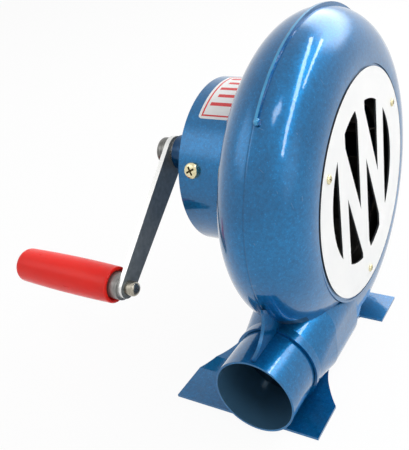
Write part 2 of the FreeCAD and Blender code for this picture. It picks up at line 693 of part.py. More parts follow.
def saddle_welds(housing):
    """Short weld beads between the neck and the raised middle of the base."""
    leg = value("weld_leg")
    length = value("weld_length")
    ground = value("saddle_top") - value(FAN_Z)
    middle = value(MIDDLE)
    flat = value("(inlet_depth + crank_depth) / 2 - neck_corner")
    runs = (value("waist_curve") / 2, value("waist_curve") + length)
    beads = []
    for side in (-1, 1):
        for run in runs:
            inside = Vector(middle + side * flat, -run, ground)
            outside = Vector(middle + side * (flat + 2 * leg), -run, ground)
            top = Vector(middle + side * (flat + 2 * leg), -run, ground + leg / 2)
            face = Part.Face(Part.makePolygon([inside, outside, top, inside]))
            beads.append(face.extrude(Vector(0, -length, 0)).cut(housing))
    feature("saddle_welds", Part.makeCompound(beads))


def on_outlet(kind, start, **sizes):
    """Round form on the outlet's axis, running inward from a distance behind the mouth."""
    solid = doc.addObject(f"Part::{kind}", "OutletRod")
    solid.Placement.Rotation = ALONG_Y
    bind(solid, **sizes)
    place(solid, OUTLET[0], f"({start} - outlet_reach)", OUTLET[1])
    return solid


def outlet_pipe():
    """Round outlet stub, open at both ends, drawn in at its inner end, where the bore flares."""
    stub = "(stub_length - stub_shoulder)"
    spigot = "(stub_shoulder + pipe_insert)"
    outside = fuse(
        on_outlet("Cylinder", "0", Radius="outlet_radius", Height=stub),
        on_outlet("Cylinder", stub, Radius=SPIGOT_RADIUS, Height=spigot),
    )
    bore = on_outlet("Cylinder", "0", Radius=OUTLET_BORE, Height=stub)
    wide_bore = f"({OUTLET_BORE} + spigot_flare)"
    flare = on_outlet("Cone", stub, Radius1=OUTLET_BORE, Radius2=wide_bore, Height=spigot)
    keep(cut(outside, bore, flare), "outlet_pipe")


# ---------------------------------------------------------------- sketched bodies


def new_body(label):
    """Empty PartDesign body that becomes a sub-part."""
    return keep(doc.addObject("PartDesign::Body", label), label)


def sketch_on(body, role, offset, name):
    """Sketch on one of the body's own origin planes, moved along its normal."""
    support = next(item for item in body.Origin.OriginFeatures if item.Role == role)
    drawing = body.newObject("Sketcher::SketchObject", name)
    drawing.AttachmentSupport = [(support, "")]
    drawing.MapMode = "FlatFace"
    drawing.setExpression("AttachmentOffset.Base.z", cell(offset))
    return drawing


def dimension(drawing, kind, where, formula):
    """Driving dimension of a sketch, bound to a formula of the sheet."""
    index = drawing.addConstraint(Sketcher.Constraint(kind, *where, value(formula)))
    drawing.setExpression(f"Constraints[{index}]", cell(formula))


def pin_point(drawing, edge, end, point):
    """Dimension a point of a sketch from its origin."""
    dimension(drawing, "DistanceX", (-1, 1, edge, end), point[0])
    dimension(drawing, "DistanceY", (-1, 1, edge, end), point[1])


def draw_circle(drawing, centre, radius):
    """Circle whose centre and radius are bound to formulas."""
    middle = Vector(value(centre[0]), value(centre[1]), 0)
    edge = drawing.addGeometry(Part.Circle(middle, Vector(0, 0, 1), value(radius)), False)
    pin_point(drawing, edge, 3, centre)
    dimension(drawing, "Radius", (edge,), radius)


def draw_polygon(drawing, corners):
    """Closed outline whose corners are bound to formulas."""
    points = [Vector(value(across), value(up), 0) for across, up in corners]
    edges = []
    for first, last in zip(points, points[1:] + points[:1]):
        edges.append(drawing.addGeometry(Part.LineSegment(first, last), False))
    for edge, following in zip(edges, edges[1:] + edges[:1]):
        drawing.addConstraint(Sketcher.Constraint("Coincident", edge, 2, following, 1))
    for edge, corner in zip(edges, corners):
        pin_point(drawing, edge, 1, corner)


def pad(body, drawing, length):
    """Pad along the sketch's normal."""
    result = body.newObject("PartDesign::Pad", "Pad")
    result.Profile = drawing
    bind(result, Length=length)
    drawing.Visibility = False
    return result


def pocket(body, drawing):
    """Pocket through everything, both ways from the sketch."""
    result = body.newObject("PartDesign::Pocket", "Pocket")
    result.Profile = drawing
    result.Type = "ThroughAll"
    result.Midplane = True
    return result


def base_saddle():
    """Pressed base: four flat feet, a raised middle and a waist cut into both long sides."""
    body = new_body("base_saddle")
    front = BASE_FRONT
    rear = BASE_REAR
    rise = "(saddle_top - base_sheet)"
    runs = (
        (front, "0"),
        (f"({front} + front_foot)", "0"),
        (f"({front} + front_foot + foot_ramp)", rise),
        (f"({rear} - rear_foot - foot_ramp)", rise),
        (f"({rear} - rear_foot)", "0"),
        (rear, "0"),
    )
    upper = [(y, f"({z} + base_sheet)") for y, z in reversed(runs)]
    left = "(base_shift - base_width / 2)"
    right = "(base_shift + base_width / 2)"
    side = sketch_on(body, "YZ_Plane", left, "SideOutline")
    draw_polygon(side, list(runs) + upper)
    pad(body, side, "base_width")

    waist_front = f"({front} + front_foot + waist_curve)"
    waist_rear = f"({rear} - rear_foot)"
    curve = "((waist_depth ^ 2 + waist_curve ^ 2) / (2 * waist_depth))"
    curves = sketch_on(body, "XY_Plane", "0", "WaistCurves")
    draw_circle(curves, (f"({right} - waist_depth + {curve})", waist_front), curve)
    draw_circle(curves, (f"({left} + waist_depth - {curve})", waist_front), curve)
    pocket(body, curves)
    blocks = sketch_on(body, "XY_Plane", "0", "WaistBlocks")
    right_block = (f"({right} - waist_depth)", f"({right} + 1)")
    left_block = (f"({left} - 1)", f"({left} + waist_depth)")
    for inner, outer in (right_block, left_block):
        corners = ((inner, waist_front), (outer, waist_front), (outer, waist_rear), (inner, waist_rear))
        draw_polygon(blocks, corners)
    pocket(body, blocks)


def guard_ribs():
    """Three upright ribs and the two slanted ribs between them, which form a zigzag."""
    reach = 2 * value("slot_zone")
    width = value("rib_width")
    lean = value("slant_angle")
    rows = [(value("rib_shift") + step * value("rib_pitch"), 0) for step in (-1, 0, 1)]
    rows += [(value("slant_shift") + step * value("slant_pitch"), lean) for step in (-0.5, 0.5)]
    ribs = []
    for middle, turn in rows:
        corner = Vector(value(LEDGE_FACE), middle - width / 2, -reach)
        rib = Part.makeBox(value("grille_sheet"), width, 2 * reach, corner)
        rib.rotate(Vector(0, middle, 0), Vector(1, 0, 0), turn)
        ribs.append(rib)
    return ribs


def inlet_grille():
    """Round white guard with zigzag ribs, held by three screws."""
    start = value(LEDGE_FACE)
    thickness = value("grille_sheet")
    plate = Part.makeCylinder(value("grille_radius"), thickness, Vector(start, 0, 0), Vector(1, 0, 0))
    middle = Vector(start, value("slot_shift_y"), value("slot_shift_z"))
    slots = Part.makeCylinder(value("slot_zone"), thickness, middle, Vector(1, 0, 0)).cut(guard_ribs())
    holes = [
        drill(centre, value("guard_screw_radius + hole_clearance"), start, start + thickness)
        for centre in guard_centres()
    ]
    feature("inlet_grille", plate.cut([slots] + holes))


def grille_screws():
    """Pan-head screws of the guard."""
    back = f"({LEDGE_FACE} - housing_sheet - guard_screw_tip)"
    screws = []
    for centre in guard_centres():
        head = taper(GUARD_FACE, f"({GUARD_FACE} + guard_screw_head)", "guard_screw_head_radius",
                     "(guard_screw_head_radius * 0.8)", centre)
        screws.append(fuse(head, rod(back, GUARD_FACE, "guard_screw_radius", centre)))
    keep(group(*screws), "grille_screws")


# ---------------------------------------------------------------- gearbox


def drum_screw_angles():
    """Angles of the three screws in the drum's side."""
    return [f"(drum_screw_angle + {step * FULL_TURN / 3})" for step in range(3)]


def side_rod(angle, start, end, radius):
    """Cylinder that points outward from the drum's axis at an angle."""
    solid = doc.addObject("Part::Cylinder", "SideRod")
    bind(solid, Radius=radius, Height=f"{end} - {start}")
    centre = round_about(DRUM, start, angle)
    place(solid, f"({COVER_FACE} + drum_screw_inset)", *centre)
    solid.setExpression("Placement.Rotation.Axis.x", "1")
    solid.setExpression("Placement.Rotation.Axis.y", "0")
    solid.setExpression("Placement.Rotation.Axis.z", "0")
    solid.setExpression("Placement.Rotation.Angle", cell(f"{angle} - 90"))
    return solid


def gearbox_drum():
    """Round drum, open towards the crank, with a flange against the housing."""
    shell = rod(COVER_FACE, GASKET_BACK, DRUM_OUTSIDE, DRUM)
    tools = [rod(f"({COVER_FACE} - 1)", FLANGE_BACK, DRUM_INSIDE, DRUM)]
    tools.append(rod(FLANGE_BACK, HOUSING_BACK, f"({CARRIER} + carrier_clearance)", FAN))
    for centre in bolt_centres() + plate_screw_centres():
        tools.append(rod(FLANGE_BACK, HOUSING_BACK, "(bolt_radius + hole_clearance)", centre))
    for angle in drum_screw_angles():
        tools.append(side_rod(angle, f"({DRUM_INSIDE} - drum_wall)", f"({DRUM_OUTSIDE} + 1)",
                              "(side_screw_radius + hole_clearance)"))
    keep(cut(shell, *tools), "gearbox_drum")


def drum_gasket():
    """Flat gasket between the drum's flange and the housing."""
    tools = [rod(GASKET_BACK, HOUSING_BACK, f"({CARRIER} + carrier_clearance)", FAN)]
    for centre in bolt_centres() + plate_screw_centres():
        tools.append(rod(GASKET_BACK, HOUSING_BACK, "(bolt_radius + hole_clearance)", centre))
    keep(cut(rod(GASKET_BACK, HOUSING_BACK, DRUM_OUTSIDE, DRUM), *tools), "drum_gasket")


def gearbox_cover():
    """Dished cover inside the drum's end, with a long ribbed boss for the crank shaft."""
    rim_end = f"({COVER_INSIDE} + cover_rim)"
    cup = cut(rod(COVER_FACE, rim_end, COVER_RADIUS, DRUM),
              rod(COVER_INSIDE, rim_end, f"({COVER_RADIUS} - drum_wall)", DRUM))
    boss = taper(BOSS_END, COVER_FACE, CRANK_BOSS, f"({CRANK_BOSS} + boss_taper)", CRANK)
    inner_boss = rod(COVER_INSIDE, BUSH_INSIDE, CRANK_BOSS, CRANK)
    lay_boss = rod(COVER_INSIDE, COVER_LAY_FACE, LAY_BOSS, LAY)
    solid = fuse(cup, boss, inner_boss, lay_boss, *boss_ribs())
    tools = [
        rod(f"({BOSS_END} - 1)", f"({BUSH_INSIDE} + 1)", CRANK_BUSH, CRANK),
        rod(COVER_INSIDE, f"({COVER_LAY_FACE} + 1)", LAY_BUSH, LAY),
    ]
    for angle in drum_screw_angles():
        tools.append(side_rod(angle, f"({COVER_RADIUS} - 2 * drum_wall)", f"({DRUM_OUTSIDE} + 1)",
                              "side_screw_radius"))
    keep(cut(solid, *tools), "gearbox_cover")


def boss_ribs():
    """Four webs that brace the crank boss on the cover's face."""
    ribs = []
    for angle in (45, 135, 225, 315):
        rib = doc.addObject("Part::Wedge", "BossRib")
        reach = f"({CRANK_BOSS} + boss_rib_reach)"
        bind(rib, Xmin="0", Xmax=reach, X2min="0", X2max=f"({CRANK_BOSS} - 1)", Ymin="0",
             Ymax="cover_boss_outer * 0.8", Zmin="-boss_rib / 2", Zmax="boss_rib / 2",
             Z2min="-boss_rib / 2", Z2max="boss_rib / 2")
        outward = Vector(0, math.cos(math.radians(angle)), math.sin(math.radians(angle)))
        away = Vector(-1, 0, 0)
        rib.Placement.Rotation = FreeCAD.Rotation(outward, away, outward.cross(away), "XYZ")
        place(rib, COVER_FACE, *CRANK)
        ribs.append(rib)
    return ribs


def drum_screws():
    """Pan-head screws through the drum's side into the cover's rim."""
    tip = f"({COVER_RADIUS} - drum_wall - side_screw_tip)"
    head_end = f"({DRUM_OUTSIDE} + side_screw_head)"
    screws = []
    for angle in drum_screw_angles():
        head = side_rod(angle, DRUM_OUTSIDE, head_end, "side_screw_head_radius")
        screws.append(fuse(head, side_rod(angle, tip, DRUM_OUTSIDE, "side_screw_radius")))
    keep(group(*screws), "drum_screws")


def bearing_plate():
    """Plate on the drum's flange that carries the fan's bearings and one end of the lay shaft."""
    plate = rod(PLATE_BACK, FLANGE_BACK, PLATE_RADIUS, DRUM)
    carrier = rod(CARRIER_BACK, CARRIER_FRONT, CARRIER, FAN)
    boss = rod(LAY_BOSS_FACE, PLATE_BACK, LAY_BOSS, LAY)
    shoulder_back = f"({CARRIER_BACK} + bearing_width)"
    shoulder_front = f"({CARRIER_FRONT} - bearing_width)"
    tools = [
        rod(CARRIER_BACK, shoulder_back, "bearing_radius", FAN),
        rod(shoulder_back, shoulder_front, "(bearing_radius - inner_race / 2)", FAN),
        rod(shoulder_front, CARRIER_FRONT, "bearing_radius", FAN),
        rod(f"({LAY_BOSS_FACE} - 1)", FLANGE_BACK, LAY_BUSH, LAY),
    ]
    for centre in plate_screw_centres():
        tools.append(rod(PLATE_BACK, FLANGE_BACK, "(bolt_radius + hole_clearance)", centre))
    keep(cut(fuse(plate, carrier, boss), *tools), "bearing_plate")


def bolts(label, centres, seat):
    """Bolts with a round head on a seat and their shanks through the housing wall."""
    tip = f"({HOUSING_INSIDE} + nut_height)"
    result = []
    for centre in centres:
        head = rod(f"({seat} - bolt_head)", seat, "bolt_head_radius", centre)
        result.append(fuse(head, rod(seat, tip, "bolt_radius", centre)))
    keep(group(*result), label)


def housing_nuts():
    """Hexagonal nuts of all bolts, on the inside of the housing."""
    end = f"({HOUSING_INSIDE} + nut_height)"
    nuts = []
    for centre in bolt_centres() + plate_screw_centres():
        nuts.append(cut(hexagon(HOUSING_INSIDE, end, "nut_radius", centre),
                        rod(HOUSING_INSIDE, end, "bolt_radius", centre)))
    keep(group(*nuts), "housing_nuts")


def bearings():
    """Races of both ball bearings and the spacer between the inner ones."""
    spans = (
        (CARRIER_BACK, f"({CARRIER_BACK} + bearing_width)"),
        (f"({CARRIER_FRONT} - bearing_width)", CARRIER_FRONT),
    )
    inner = "(fan_shaft_radius + inner_race)"
    outer = []
    inside = []
    for start, end in spans:
        outer.append(tube(start, end, "bearing_radius", f"({inner} + race_gap)", FAN))
        inside.append(tube(start, end, inner, "fan_shaft_radius", FAN))
    keep(group(*outer), "bearing_outer_races")
    keep(group(*inside), "bearing_inner_races")
    keep(tube(spans[0][1], spans[1][0], inner, "fan_shaft_radius", FAN), "bearing_spacer")


def bushes():
    """Plain bushes of the crank shaft and of both ends of the lay shaft."""
    keep(tube(BOSS_END, BUSH_INSIDE, CRANK_BUSH, "(crank_shaft_radius + running_fit)", CRANK), "crank_bush")
    bore = "(lay_shaft_radius + running_fit)"
    keep(group(tube(LAY_BOSS_FACE, FLANGE_BACK, LAY_BUSH, bore, LAY),
               tube(COVER_INSIDE, COVER_LAY_FACE, LAY_BUSH, bore, LAY)), "lay_bushes")


# ---------------------------------------------------------------- gears


def gear_face(teeth, direction, steps):
    """Outline of a spur gear with involute flanks and one tooth centred on a direction."""
    module = value("gear_module")
    pressure = math.radians(value("pressure_angle"))
    pitch = module * teeth / 2
    base = pitch * math.cos(pressure)
    tip = pitch + module
    root = pitch - 1.25 * module
    half_tooth = math.pi / 2 / teeth - value("backlash") / 4 / pitch
    foot = max(base, root)

    def flank(radius):
        angle = math.acos(min(1, base / radius))
        return half_tooth + (math.tan(pressure) - pressure) - (math.tan(angle) - angle)

    radii = [foot + (tip - foot) * step / steps for step in range(steps + 1)]
    points = []
    for tooth in range(teeth):
        middle = math.radians(direction) + 2 * math.pi * tooth / teeth
        rising = [(root, middle - flank(foot))] if foot > root else []
        rising += [(radius, middle - flank(radius)) for radius in radii]
        points += rising + [(radius, 2 * middle - angle) for radius, angle in reversed(rising)]
    corners = [Vector(0, radius * math.cos(angle), radius * math.sin(angle)) for radius, angle in points]
    return Part.Face(Part.makePolygon(corners + corners[:1]))


def gear(teeth, start, end, direction, steps):
    """Toothed disc between two planes."""
    width = value(f"{end} - {start}")
    solid = gear_face(int(value(teeth)), direction, steps).extrude(Vector(width, 0, 0))
    solid.translate(Vector(value(start), 0, 0))
    return solid


def axle(start, end, radius):
    """Cylinder on the gear's own axis."""
    length = value(f"{end} - {start}")
    return Part.makeCylinder(value(radius), length, Vector(value(start), 0, 0), Vector(1, 0, 0))


def dished(solid, teeth, start, end, hub, holes):
    """Thin a gear's web on both faces and pierce it with round holes."""
    rim = value(f"gear_module * {teeth} / 2 - 1.25 * gear_module - gear_rim")
    hub_radius = value(hub)
    depth = (value(f"{end} - {start}") - value("gear_web")) / 2
    middle = (rim + hub_radius) / 2
    hole_radius = (rim - hub_radius) / 2 - value("gear_web") / 2
    for face in (Vector(value(start), 0, 0), Vector(value(end) - depth, 0, 0)):
        ring = Part.makeCylinder(rim, depth, face, Vector(1, 0, 0))
        solid = solid.cut(ring.cut(Part.makeCylinder(hub_radius, depth, face, Vector(1, 0, 0))))
    cutters = []
    for index in range(holes):
        centre = radial(FULL_TURN * index / holes, middle, value(start))
        cutters.append(Part.makeCylinder(hole_radius, value(f"{end} - {start}"), centre, Vector(1, 0, 0)))
    return solid.cut(cutters)


def direction_between(first, second):
    """Angle of the line from one shaft to another."""
    across = value(second[0]) - value(first[0])
    up = value(second[1]) - value(first[1])
    return math.degrees(math.atan2(up, across))


def gears():
    """Two-stage step-up train: crank gear, lay pinion, lay gear and fan pinion."""
    to_lay = direction_between(CRANK, LAY)
    to_fan = direction_between(LAY, FAN)
    hub = "(2 * crank_shaft_radius)"
    crank = gear("crank_teeth", CRANK_GEAR_BACK, CRANK_GEAR_FRONT, to_lay, 2)
    crank = dished(crank, "crank_teeth", CRANK_GEAR_BACK, CRANK_GEAR_FRONT, hub, 5)
    crank = crank.fuse(axle(CRANK_HUB_BACK, CRANK_GEAR_BACK, hub))
    crank = crank.cut(axle(CRANK_HUB_BACK, CRANK_GEAR_FRONT, "crank_shaft_radius"))
    feature("crank_gear", crank.cut(key_block()).removeSplitter(), CRANK)

    lay_hub = "(2 * lay_shaft_radius)"
    lay = gear("lay_teeth", LAY_GEAR_BACK, LAY_GEAR_FRONT, to_fan, 2)
    lay = dished(lay, "lay_teeth", LAY_GEAR_BACK, LAY_GEAR_FRONT, lay_hub, 5)
    hub_front = f"({LAY_BOSS_FACE} - hub_clearance)"
    lay = lay.fuse(axle(LAY_GEAR_FRONT, hub_front, lay_hub))
    lay = lay.cut(axle(LAY_GEAR_BACK, hub_front, "lay_shaft_radius"))
    feature("lay_gear", lay.removeSplitter(), LAY)

    neck = "(lay_shaft_radius + bush_wall - hub_clearance)"
    teeth_front = f"({CRANK_GEAR_FRONT} + pinion_overlap)"
    teeth_back = f"({CRANK_GEAR_BACK} - pinion_overlap)"
    tail = f"({COVER_LAY_FACE} + hub_clearance)"
    half_step = HALF_TURN / value("lay_pinion_teeth")
    pinion = gear("lay_pinion_teeth", teeth_back, teeth_front, to_lay + HALF_TURN + half_step, 3)
    pinion = pinion.fuse([axle(teeth_front, LAY_GEAR_BACK, neck), axle(tail, teeth_back, neck)])
    pinion = pinion.cut(axle(tail, LAY_GEAR_BACK, "lay_shaft_radius"))
    feature("lay_pinion", pinion.removeSplitter(), LAY)

    fan_neck = "(fan_shaft_radius + inner_race - hub_clearance)"
    fan_front = f"({CARRIER_BACK} - housing_sheet)"
    half_step = HALF_TURN / value("fan_pinion_teeth")
    fan = gear("fan_pinion_teeth", FAN_PINION_BACK, fan_front, to_fan + HALF_TURN + half_step, 3)
    fan = fan.fuse(axle(fan_front, CARRIER_BACK, fan_neck))
    fan = fan.cut(axle(FAN_PINION_BACK, CARRIER_BACK, "fan_shaft_radius"))
    feature("fan_pinion", fan.removeSplitter(), FAN)


def key_block():
    """Square key that lies half in the crank shaft and half in its gear."""
    side = value("crank_key")
    start = value(CRANK_HUB_BACK)
    length = value(f"{CRANK_GEAR_FRONT} - {CRANK_HUB_BACK}")
    low = value("crank_shaft_radius") - side / 2
    return Part.makeBox(length, side, side, Vector(start, -side / 2, low))


# ---------------------------------------------------------------- shafts


def shafts():
    """Crank shaft with its key and clip, lay shaft and fan shaft."""
    inner_end = f"({CRANK_GEAR_FRONT} + 2 * clip_sheet)"
    outer_end = f"({CRANK_END} + hub_screw_head)"
    shaft = axle(outer_end, inner_end, "crank_shaft_radius")
    hole = axle(outer_end, f"({outer_end} + hub_screw_length)", "hub_screw_shank")
    feature("crank_shaft", shaft.cut([hole, key_block()]), CRANK)
    feature("crank_key", key_block(), CRANK)
    keep(tube(CRANK_GEAR_FRONT, f"({CRANK_GEAR_FRONT} + clip_sheet)", "(crank_shaft_radius + clip_depth)",
              "crank_shaft_radius", CRANK), "crank_clip")
    lay_end = f"({COVER_INSIDE} + hub_clearance)"
    keep(rod(lay_end, f"({FLANGE_BACK} - hub_clearance)", "lay_shaft_radius", LAY), "lay_shaft")
    fan_end = f"({HUB_NOSE} + wheel_nut + clip_sheet)"
    keep(rod(FAN_PINION_BACK, fan_end, "fan_shaft_radius", FAN), "fan_shaft")


# ---------------------------------------------------------------- fan wheel


def rivet_centres():
    """Rivets that join the wheel's disc to its hub."""
    return spread(FAN, "((wheel_hub_radius + wheel_flange_radius) / 2)", "45", int(value("rivet_count")))


def fan_wheel():
    """Hub, disc, blades, front ring, rivets and nut of the fan wheel."""
    hub = fuse(rod(CARRIER_FRONT, HUB_NOSE, "wheel_hub_radius", FAN),
               rod(WHEEL_BACK, DISC_BACK, "wheel_flange_radius", FAN))
    holes = [rod(CARRIER_FRONT, HUB_NOSE, "fan_shaft_radius", FAN)]
    holes += [rod(WHEEL_BACK, DISC_BACK, "rivet_radius", centre) for centre in rivet_centres()]
    keep(cut(hub, *holes), "impeller_hub")

    disc_holes = [rod(DISC_BACK, DISC_FRONT, "wheel_hub_radius", FAN)]
    disc_holes += [rod(DISC_BACK, DISC_FRONT, "rivet_radius", centre) for centre in rivet_centres()]
    keep(cut(rod(DISC_BACK, DISC_FRONT, "wheel_radius", FAN), *disc_holes), "impeller_disc")
    keep(tube(RING_BACK, f"({RING_BACK} + blade_sheet)", "wheel_radius", "wheel_eye", FAN), "impeller_ring")

    rivets = []
    for centre in rivet_centres():
        shank = rod(WHEEL_BACK, DISC_FRONT, "rivet_radius", centre)
        head = rod(DISC_FRONT, f"({DISC_FRONT} + rivet_head)", "(rivet_radius * 1.8)", centre)
        rivets.append(fuse(shank, head))
    keep(group(*rivets), "impeller_rivets")
    keep(cut(hexagon(HUB_NOSE, f"({HUB_NOSE} + wheel_nut)", "wheel_nut_radius", FAN),
             rod(HUB_NOSE, f"({HUB_NOSE} + wheel_nut)", "fan_shaft_radius", FAN)), "impeller_nut")
    impeller_blades()


def impeller_blades():
    """Bowed blades that trail the turning wheel, between the disc and the front ring."""
    start = value(DISC_FRONT)
    width = value("blade_width")
    sheet_wall = value("blade_sheet")
    root = value("blade_root")
    tip = value("wheel_radius") - sheet_wall
    lean = value("blade_lean")
    bow = value("blade_bow")
    count = int(value("blade_count"))
    first = radial(0, root, start)
    last = radial(-lean, tip, start)
    chord = last - first
    side = Vector(1, 0, 0).cross(chord).normalize()

    def arc(offset):
        ends = (first + side * offset, (first + last) * 0.5 + side * (bow + offset), last + side * offset)
        return Part.Arc(*ends).toShape(), ends[0], ends[2]

    near, near_first, near_last = arc(0)
    far, far_first, far_last = arc(sheet_wall)
    edges = [near, Part.makeLine(near_last, far_last), far, Part.makeLine(far_first, near_first)]
    blade = Part.Face(Part.Wire(Part.__sortEdges__(edges))).extrude(Vector(width, 0, 0))
    blades = []
    for index in range(count):
        copy = blade.copy()
        copy.rotate(Vector(), Vector(1, 0, 0), FULL_TURN * index / count)
        blades.append(copy)
    feature("impeller_blades", Part.makeCompound(blades))


# ---------------------------------------------------------------- crank and grip


def crank_arm():
    """Flat tapered bar with rounded ends, bored for the crank shaft and the spindle."""
    body = new_body("crank_arm")
    lean = "((arm_hub_radius - arm_grip_radius) / crank_throw)"
    upright = f"(sqrt(1 - {lean} ^ 2))"
    wide = (f"(arm_hub_radius * {lean})", f"(arm_hub_radius * {upright})")
    narrow = (f"(crank_throw + arm_grip_radius * {lean})", f"(arm_grip_radius * {upright})")
    bar = sketch_on(body, "XY_Plane", "0", "Bar")
    draw_polygon(bar, ((wide[0], f"(-1 * {wide[1]})"), (narrow[0], f"(-1 * {narrow[1]})"), narrow, wide))
    pad(body, bar, "arm_sheet")
    ends = (("CrankEnd", "0", "arm_hub_radius"), ("GripEnd", "crank_throw", "arm_grip_radius"))
    for name, centre, radius in ends:
        end = sketch_on(body, "XY_Plane", "0", name)
        draw_circle(end, (centre, "0"), radius)
        pad(body, end, "arm_sheet")
    bores = sketch_on(body, "XY_Plane", "0", "Bores")
    draw_circle(bores, ("0", "0"), "crank_shaft_radius")
    draw_circle(bores, ("crank_throw", "0"), "spindle_neck")
    pocket(body, bores)
    place(body, ARM_BACK, *CRANK)
    turn = FreeCAD.Rotation(Vector(1, 0, 0), value("crank_angle"))
    across = FreeCAD.Rotation(Vector(0, 1, 0), Vector(0, 0, 1), Vector(1, 0, 0), "XYZ")
    body.Placement.Rotation = turn.multiply(across)


def edges_at(shape, x, radius):
    """Round edges of a turned piece at a plane and a radius."""
    near = 0.01
    found = []
    for edge in shape.Edges:
        curve = edge.Curve
        if hasattr(curve, "Radius") and math.dist((curve.Radius, curve.Center.x), (radius, x)) < near:
            found.append(edge)
    return found


def crank_pieces():
    """Thrust washer, round boss with its screw, spindle, nut and clip."""
    keep(tube(ARM_FRONT, WASHER_FRONT, "washer_radius", "crank_shaft_radius", CRANK), "thrust_washer")
    hub = axle(CRANK_END, ARM_BACK, "crank_hub_radius")
    hub = hub.makeFillet(value("hub_rounding"), edges_at(hub, value(CRANK_END), value("crank_hub_radius")))
    seat = f"({CRANK_END} + hub_screw_head)"
    head_room = axle(CRANK_END, seat, "(hub_screw_radius + hub_clearance)")
    hub = hub.cut([axle(seat, ARM_BACK, "crank_shaft_radius"), head_room])
    feature("crank_hub", hub, CRANK)
    screw = axle(CRANK_END, seat, "hub_screw_radius").fuse(
        axle(seat, f"({seat} + hub_screw_length)", "hub_screw_shank"))
    feature("hub_screw", screw, CRANK)

    clip_back = f"({BORE_END} - hub_clearance - clip_sheet)"
    spindle_end = f"({clip_back} - 2 * clip_sheet)"
    nut_face = f"({ARM_FRONT} + spindle_nut_height)"
    spindle = axle(spindle_end, COLLAR_END, "spindle_radius")
    collar = axle(COLLAR_END, ARM_BACK, "collar_radius")
    stud = axle(ARM_BACK, f"({nut_face} - 2 * clip_sheet)", "spindle_neck")
    feature("grip_spindle", spindle.fuse([collar, stud]).removeSplitter(), GRIP)
    clip_front = f"({clip_back} + clip_sheet)"
    clip = tube(clip_back, clip_front, "(spindle_radius + clip_depth)", "spindle_radius", GRIP)
    keep(clip, "spindle_clip")

    nut = axle(ARM_FRONT, nut_face, "spindle_nut_radius")
    rim = edges_at(nut, value(nut_face), value("spindle_nut_radius"))
    nut = nut.makeFillet(value("spindle_nut_radius") * 0.55, rim)
    nut = nut.cut(axle(ARM_FRONT, f"({nut_face} - 2 * clip_sheet)", "spindle_neck"))
    feature("spindle_nut", nut, GRIP)


def crank_grip():
    """Barrel-shaped plastic grip that spins on its spindle, closed by a cap."""
    mouth = value(GRIP_MOUTH)
    end = value(GRIP_END)
    middle = (mouth + end) / 2
    mouth_radius = value("grip_radius")
    tail_radius = value("grip_tail_radius")
    bulge = (mouth_radius + tail_radius) / 2 + value("grip_bulge")
    points = [Vector(mouth, 0, mouth_radius), Vector(middle, 0, bulge), Vector(end, 0, tail_radius)]
    edges = [
        Part.Arc(*points).toShape(),
        Part.makeLine(points[2], Vector(end, 0, 0)),
        Part.makeLine(Vector(end, 0, 0), Vector(mouth, 0, 0)),
        Part.makeLine(Vector(mouth, 0, 0), points[0]),
    ]
    barrel = Part.Face(Part.Wire(edges)).revolve(Vector(), Vector(1, 0, 0), FULL_TURN)
    barrel = barrel.makeFillet(value("grip_rounding"), edges_at(barrel, end, tail_radius))
    rim_rounding = value("grip_socket_gap") * 0.8
    barrel = barrel.makeFillet(rim_rounding, edges_at(barrel, mouth, mouth_radius))
    bore = axle(BORE_END, SOCKET_FLOOR, "(spindle_radius + grip_clearance)")
    socket = axle(SOCKET_FLOOR, GRIP_MOUTH, "(collar_radius + grip_socket_gap)")
    room = axle(GRIP_END, BORE_END, "clip_room_radius")
    feature("crank_grip", barrel.cut([bore, socket, room]), GRIP)
    keep(rod(GRIP_END, CAP_INSIDE, "clip_room_radius", GRIP), "grip_cap")


# ---------------------------------------------------------------- build and export


def build():
    """Make every sub-part, from the ground up and from the fan out to the grip."""
    base_saddle()
    housing = shells()
    saddle_welds(housing)
    outlet_pipe()
    inlet_grille()
    grille_screws()
    drum_gasket()
    gearbox_drum()
    bearing_plate()
    bolts("drum_bolts", bolt_centres(), FLANGE_BACK)
    bolts("plate_screws", plate_screw_centres(), PLATE_BACK)
    housing_nuts()
    bearings()
    bushes()
    gearbox_cover()
    drum_screws()
    gears()
    shafts()
    fan_wheel()
    crank_arm()
    crank_pieces()
    crank_grip()


def export():
    """Check every object and every sub-part, then write one STEP file for each.

    The files have their origin in the middle of the rear feet's underside, in the scroll's middle plane.
    """
    doc.recompute()
    failed = [item.Label for item in doc.Objects if {"Invalid", "Error"} & set(item.State)]
    if failed:
        raise RuntimeError(f"objects failed: {failed}")
    for node in nodes:
        if node.Shape.isNull() or not node.Shape.isValid():
            raise RuntimeError(f"{node.Label} has no valid shape")
    os.makedirs("parts", exist_ok=True)
    to_origin = Vector(0, -value(f"{BASE_REAR} - rear_foot / 2"), 0)
    for node in nodes:
        node.Shape.translated(to_origin).exportStep(f"parts/{node.Label}.step")
    print(f"{len(nodes)} sub-parts written")


build()
export()
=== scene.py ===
import json
import math

import bmesh
import bpy
from mathutils import Matrix, Vector

